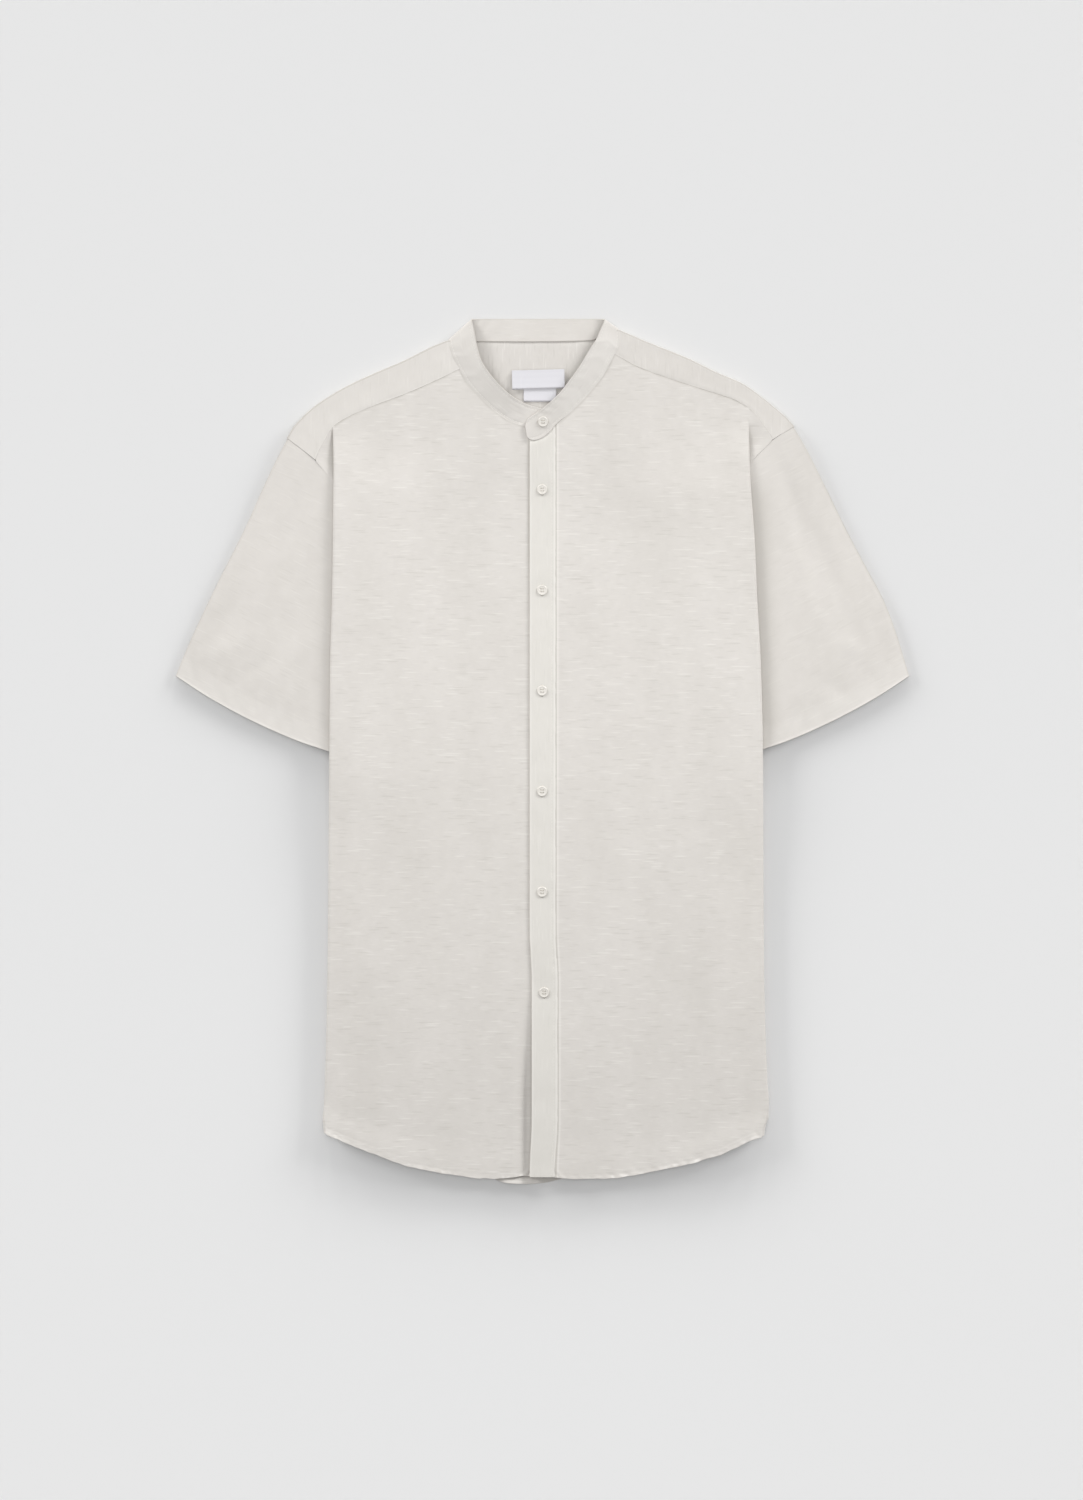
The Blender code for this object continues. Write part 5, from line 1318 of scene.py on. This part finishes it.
# painted shade on its edges where it lies flat behind and over the shoulders, on its free edge in front and
# at two places over the shoulders, and painted light on its high front faces
to_free = (1 - up) * BAND_HEIGHT
painted_light = -0.8 * behind * (1 - rising(from_edge, 0, 0.9))
before_tab = smooth((0.95 - sections[:, None]) / 0.05)
painted_light = painted_light - 0.5 * (1 - behind) * (1 - rising(to_free, 0, 0.8)) * before_tab
high = smooth((band_point(sections, 1.0)[:, 2:] - 9 * MM) / (2 * MM))
painted_light = painted_light + high * np.where(sections[:, None] < 0.48, 0.10, 0.28)
painted_light = painted_light - 0.22 * bell(sections[:, None] - 0.605, 0.04) - 0.1 * bell(sections[:, None] - 0.345, 0.04)
collar_band, band_upper = cloth_wall("collar_band_linen", points, BAND_THICK, band_linen, uv=flat,
                                     painted_light=painted_light)
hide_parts("collar_band")
band_paths = []
for place in (BAND_STITCH, BAND_HEIGHT - BAND_STITCH):
    column = int(np.argmin(np.abs(up * BAND_HEIGHT - place)))
    band_paths.append(band_upper[:, column])
stitched("collar_band_stitches", band_paths, thread)

# ----------------------------------------------------------
# Neck labels. Two blank woven satin labels, one above the other, sewn to the inner yoke below the band. The
# main one is folded over at its end, and both stand a little off the cloth at their free edges.
# ----------------------------------------------------------
LABEL_THICK = 0.55 * MM
LABEL_ROLL = 1.3 * MM  # how far its lower edge rolls down, over this width
LABEL_ROLL_OVER = 1.1 * MM


def woven_satin(name, colour, shade):
    """Damask-woven polyester satin, smooth and white, with soft ribs across it: 0.5 - 0.5 cos(v / 0.8 mm)."""
    made, tree, shader = new_finish(name)
    flat = add_node(tree, "UVMap", uv_map="flat")
    ribs = add_node(tree, "TexWave", {"Vector": flat, "Scale": 1 / (0.8 * MM) / 20, "Distortion": 0.3},
                    bands_direction="Y")
    soft = add_node(tree, "MapRange", (ribs, 0.0, 1.0, 0.15, 0.35))
    mixed = add_node(tree, "Mix", {0: soft, 6: hex_colour(colour), 7: hex_colour(shade)}, data_type="RGBA")
    bump = add_node(tree, "Bump", {"Strength": 0.3, "Distance": 0.01 * MM, "Height": ribs})
    plug(tree, shader, {"Base Color": mixed, "Normal": bump, "Roughness": 0.42, "Specular IOR Level": 0.5,
                        "Sheen Weight": 0.1})
    return made


satin = woven_satin("label_satin", "#D6D5D9", "#CCCBD0")


def label(name, size, place, turn, fold, lift):
    """A strip bowed up by lift towards its lower edge, which rolls down, with a folded end of that width.

    Its level: lift x (1 - v)^2 - roll x smooth((over - distance to the lower edge) / over).
    """
    u = np.linspace(0, 1, 50)[:, None]
    v = np.concatenate((np.linspace(0, 0.07, 7), np.linspace(0.07, 1, 18)[1:]))[None]
    x = (u - 0.5) * size[0]
    y = (v - 0.5) * size[1]
    z = lift * (1 - v) ** 2 + 0.05 * MM * np.sin(u * 9) * (1 - v)
    z = z - LABEL_ROLL * smooth((LABEL_ROLL_OVER - v * size[1]) / LABEL_ROLL_OVER)
    doubled = smooth((fold - u * size[0]) / (0.5 * MM))
    turned_x = x * math.cos(turn) - y * math.sin(turn)
    turned_y = x * math.sin(turn) + y * math.cos(turn)
    points = grid(turned_x, turned_y, z + doubled * 0.15 * MM)
    thick = LABEL_THICK + doubled * 0.3 * MM + 0 * v
    made, _ = cloth_wall(name + "_satin", points + np.array(place), thick, satin, uv=grid(x, y))
    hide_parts(name)


label("neck_label", (48.5 * MM, 17.6 * MM), (-3.9 * MM, 345.2 * MM, 4.45 * MM), math.radians(1.6), 8.8 * MM,
      0.5 * MM)
label("fit_label", (30 * MM, 18 * MM), (-2.4 * MM, 333.6 * MM, 3.15 * MM), 0.0, 0.0, 0.35 * MM)

# ----------------------------------------------------------
# Buttons. Pale four-hole resin buttons with a raised rim, one on the collar tab and six down the placket,
# each sewn with two bars of thread over a buttonhole worked in close stitches.
# ----------------------------------------------------------
BUTTON_WIDTH = 9.7 * MM
BUTTON_HEIGHT = 1.0 * MM
BUTTON_DISH = 0.2 * MM  # how deep its face is dished
BUTTON_ROLL = 0.35 * MM  # how far its edge rolls down
HOLE = 0.52 * MM  # radius of a hole
HOLE_DEEP = 0.6 * MM
HOLE_WALL = 0.24 * MM
HOLE_SPREAD = 1.75 * MM  # from the button's middle to each hole's
BUTTONHOLE = (10.7 * MM, 2.0 * MM)
BUTTONHOLE_STITCH = 0.7 * MM
BEAD_HIGH = 0.25 * MM
COLLAR_BUTTON = (0.4 * MM, 305.6 * MM)
COLLAR_BUTTON_SECTION = 25.05  # where that is in the band's table, and how far up the band
COLLAR_BUTTON_UP = 0.52


def cast_resin(name, colour, shade):
    """Cast polyester resin, polished: a soft gloss over a faint milky cloud."""
    made, tree, shader = new_finish(name)
    at = add_node(tree, "TexCoord").node.outputs["Object"]
    cloudy = {"Vector": at, "Scale": 1 / (4 * MM), "Detail": 2.0, "Distortion": 1.0}
    cloud = add_node(tree, "TexNoise", cloudy)
    mixed = add_node(tree, "Mix", {0: cloud, 6: hex_colour(colour), 7: hex_colour(shade)}, data_type="RGBA")
    plug(tree, shader, {"Base Color": mixed, "Roughness": 0.32, "IOR": 1.54})
    return made


def placed(points, normal, place):
    """Turned so that +Z goes to normal, about the line square to both (Rodrigues), and moved to place.

    With a the angle and k that line: p cos a + (k x p) sin a + k (k . p) (1 - cos a).
    """
    points = points.reshape(-1, 3)
    axis = np.cross((0, 0, 1), unit(normal))
    size = np.linalg.norm(axis)
    if size < 1e-6:
        return points + place
    axis = axis / size
    angle = math.asin(min(size, 1.0))
    kept = axis * (points @ axis)[:, None] * (1 - math.cos(angle))
    return points * math.cos(angle) + np.cross(axis, points) * math.sin(angle) + kept + place


def button(name, place, tilt, finish):
    """A turned disc on a polar grid. Its upper face is a dish with a rolled rim, less four round wells.

    The face: height - dish x (1 - rim) - roll x edge^2 - deep x smooth((hole + wall / 2 - distance) / wall),
    where rim and edge go from 0 to 1 outwards.
    """
    radius = BUTTON_WIDTH / 2
    ring = np.concatenate((np.linspace(0.02, 0.62, 26), np.linspace(0.62, 1.0, 12)[1:])) * radius
    around = np.linspace(0, 2 * math.pi, 73)[:-1]
    r, a = np.meshgrid(ring, around, indexing="ij")
    x = r * np.cos(a)
    y = r * np.sin(a)
    rim = smooth((r - 0.64 * radius) / (0.14 * radius))
    edge = smooth((r - 0.86 * radius) / (0.14 * radius))
    face = BUTTON_HEIGHT - BUTTON_DISH * (1 - rim) - BUTTON_ROLL * edge**2
    for corner in range(4):
        turn = math.radians(45 + 90 * corner)
        distance = np.hypot(x - HOLE_SPREAD * math.cos(turn), y - HOLE_SPREAD * math.sin(turn))
        face = face - HOLE_DEEP * smooth((HOLE + HOLE_WALL / 2 - distance) / HOLE_WALL)
    low_ring = np.array((0.97, 0.9, 0.72, 0.35, 0.02)) * radius
    low_level = np.array((0.4, 0.15, 0.0, 0.0, 0.0)) * MM
    low_r, low_a = np.meshgrid(low_ring, around, indexing="ij")
    low = grid(low_r * np.cos(low_a), low_r * np.sin(low_a), low_level[:, None])
    points = np.concatenate((grid(x, y, face), low))
    index, walls = tube(len(points), len(around))
    # the small caps at both poles, as fans of four-sided faces
    caps = []
    for pole, order in ((index[0], 1), (index[-1], -1)):
        caps.append(grid(pole[0:-2:2], pole[1:-1:2], pole[2::2], pole[-1])[:, ::order])
    faces = np.concatenate((walls[:, (0, 3, 2, 1)], *caps))
    return new_piece(name, placed(points, tilt, place), faces, finish)


def thread_bars(name, place, tilt, finish):
    """Two bars of thread, each of two strands, from hole to hole: a round section along sin(pi t)^0.5."""
    spread = HOLE_SPREAD * math.sin(math.radians(45))
    t = np.linspace(0, 1, 9)
    around = np.linspace(0, 2 * math.pi, 7)[:-1]
    strands = []
    for row in (-1, 1):
        for strand in (-0.5, 0.5):
            x = (2 * t - 1) * spread
            y = row * spread + strand * 0.30 * MM + 0.05 * MM * np.sin(3 * t)
            z = BUTTON_HEIGHT - HOLE_DEEP + 0.42 * MM * np.sin(t * math.pi) ** 0.5
            line = grid(x, y, z)
            ring = grid(0 * around, np.cos(around), np.sin(around)) * 0.17 * MM
            strands.append(line[:, None] + ring[None])
    points = np.array(strands)
    index, walls = tube(len(t), len(around))
    ends = np.array(((5, 2, 1, 0), (5, 4, 3, 2)))
    far = index[-1, 0] + np.array(((0, 1, 2, 5), (2, 3, 4, 5)))
    one = np.concatenate((walls, ends, far))
    faces = (one[None] + index.size * np.arange(4)[:, None, None]).reshape(-1, 4)
    new_piece(name, placed(points, tilt, place), faces, finish)


def buttonhole(name, place, tilt, upright, finish):
    """A worked buttonhole: two beads of close stitches and a bar at each end, as a ridge round a long slot.

    Height: bead x (1 - ((d - wall) / wall)^2) with d the distance in from the rounded outline, and a ripple.
    """
    long, wide = BUTTONHOLE
    u = np.linspace(-1, 1, 64)[:, None]
    v = np.linspace(-1, 1, 15)[None]
    past_side = (np.abs(u) * long / 2 - (long - wide) / 2) / (wide / 2)
    half = wide / 2 * np.sqrt(1 - np.clip(past_side, 0, 0.999) ** 2)
    x = u * long / 2 + 0 * v
    y = v * half
    inside = half - np.abs(y)
    bead = BEAD_HIGH * np.clip(1 - ((inside - 0.5 * MM) / (0.55 * MM)) ** 2, 0, 1)
    z = bead * (0.85 + 0.15 * np.cos(x * 2 * math.pi / BUTTONHOLE_STITCH))
    points = grid(x, y, z) if not upright else grid(-y, x, z)
    cloth_wall(name, placed(points, tilt, place).reshape(points.shape), 0.25 * MM, finish)


resin = cast_resin("button_resin", "#DAD6CF", "#D3CFC8")
button_thread = sewing_thread("button_thread", "#C9C4BB", "#B9B3A8")
share = COLLAR_BUTTON_SECTION / (len(COLLAR_BAND) - 1)
along_band = band_point(share + 0.005, COLLAR_BUTTON_UP) - band_point(share - 0.005, COLLAR_BUTTON_UP)
up_band = band_point(share, 0.62) - band_point(share, 0.42)
tab_normal = np.cross(up_band, along_band)
tab_normal *= np.sign(tab_normal[2]) / np.linalg.norm(tab_normal)
tab_level = float(band_point(share, COLLAR_BUTTON_UP)[2]) + 0.25 * MM
places = [("button_collar", (*COLLAR_BUTTON, tab_level), tab_normal, False)]
for number, height in enumerate(BUTTON_HEIGHTS):
    x = float(placket_lean(height)) - 0.4 * MM
    level = float(placket_level(height)) - 0.1 * MM
    places.append((f"button_{number + 1}", (x, height, level), (0, 0, 1), True))
for name, place, normal, upright in places:
    normal = np.array(normal)
    on_cloth = place + normal * (PLACKET_THICK / 2)
    made = button(name + "_resin", on_cloth, normal, resin)
    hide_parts(name)
    thread_bars(name.replace("button", "thread"), on_cloth, normal, button_thread)
    just_over = on_cloth + normal * 0.02 * MM
    buttonhole(name.replace("button", "buttonhole"), just_over, normal, upright, button_thread)
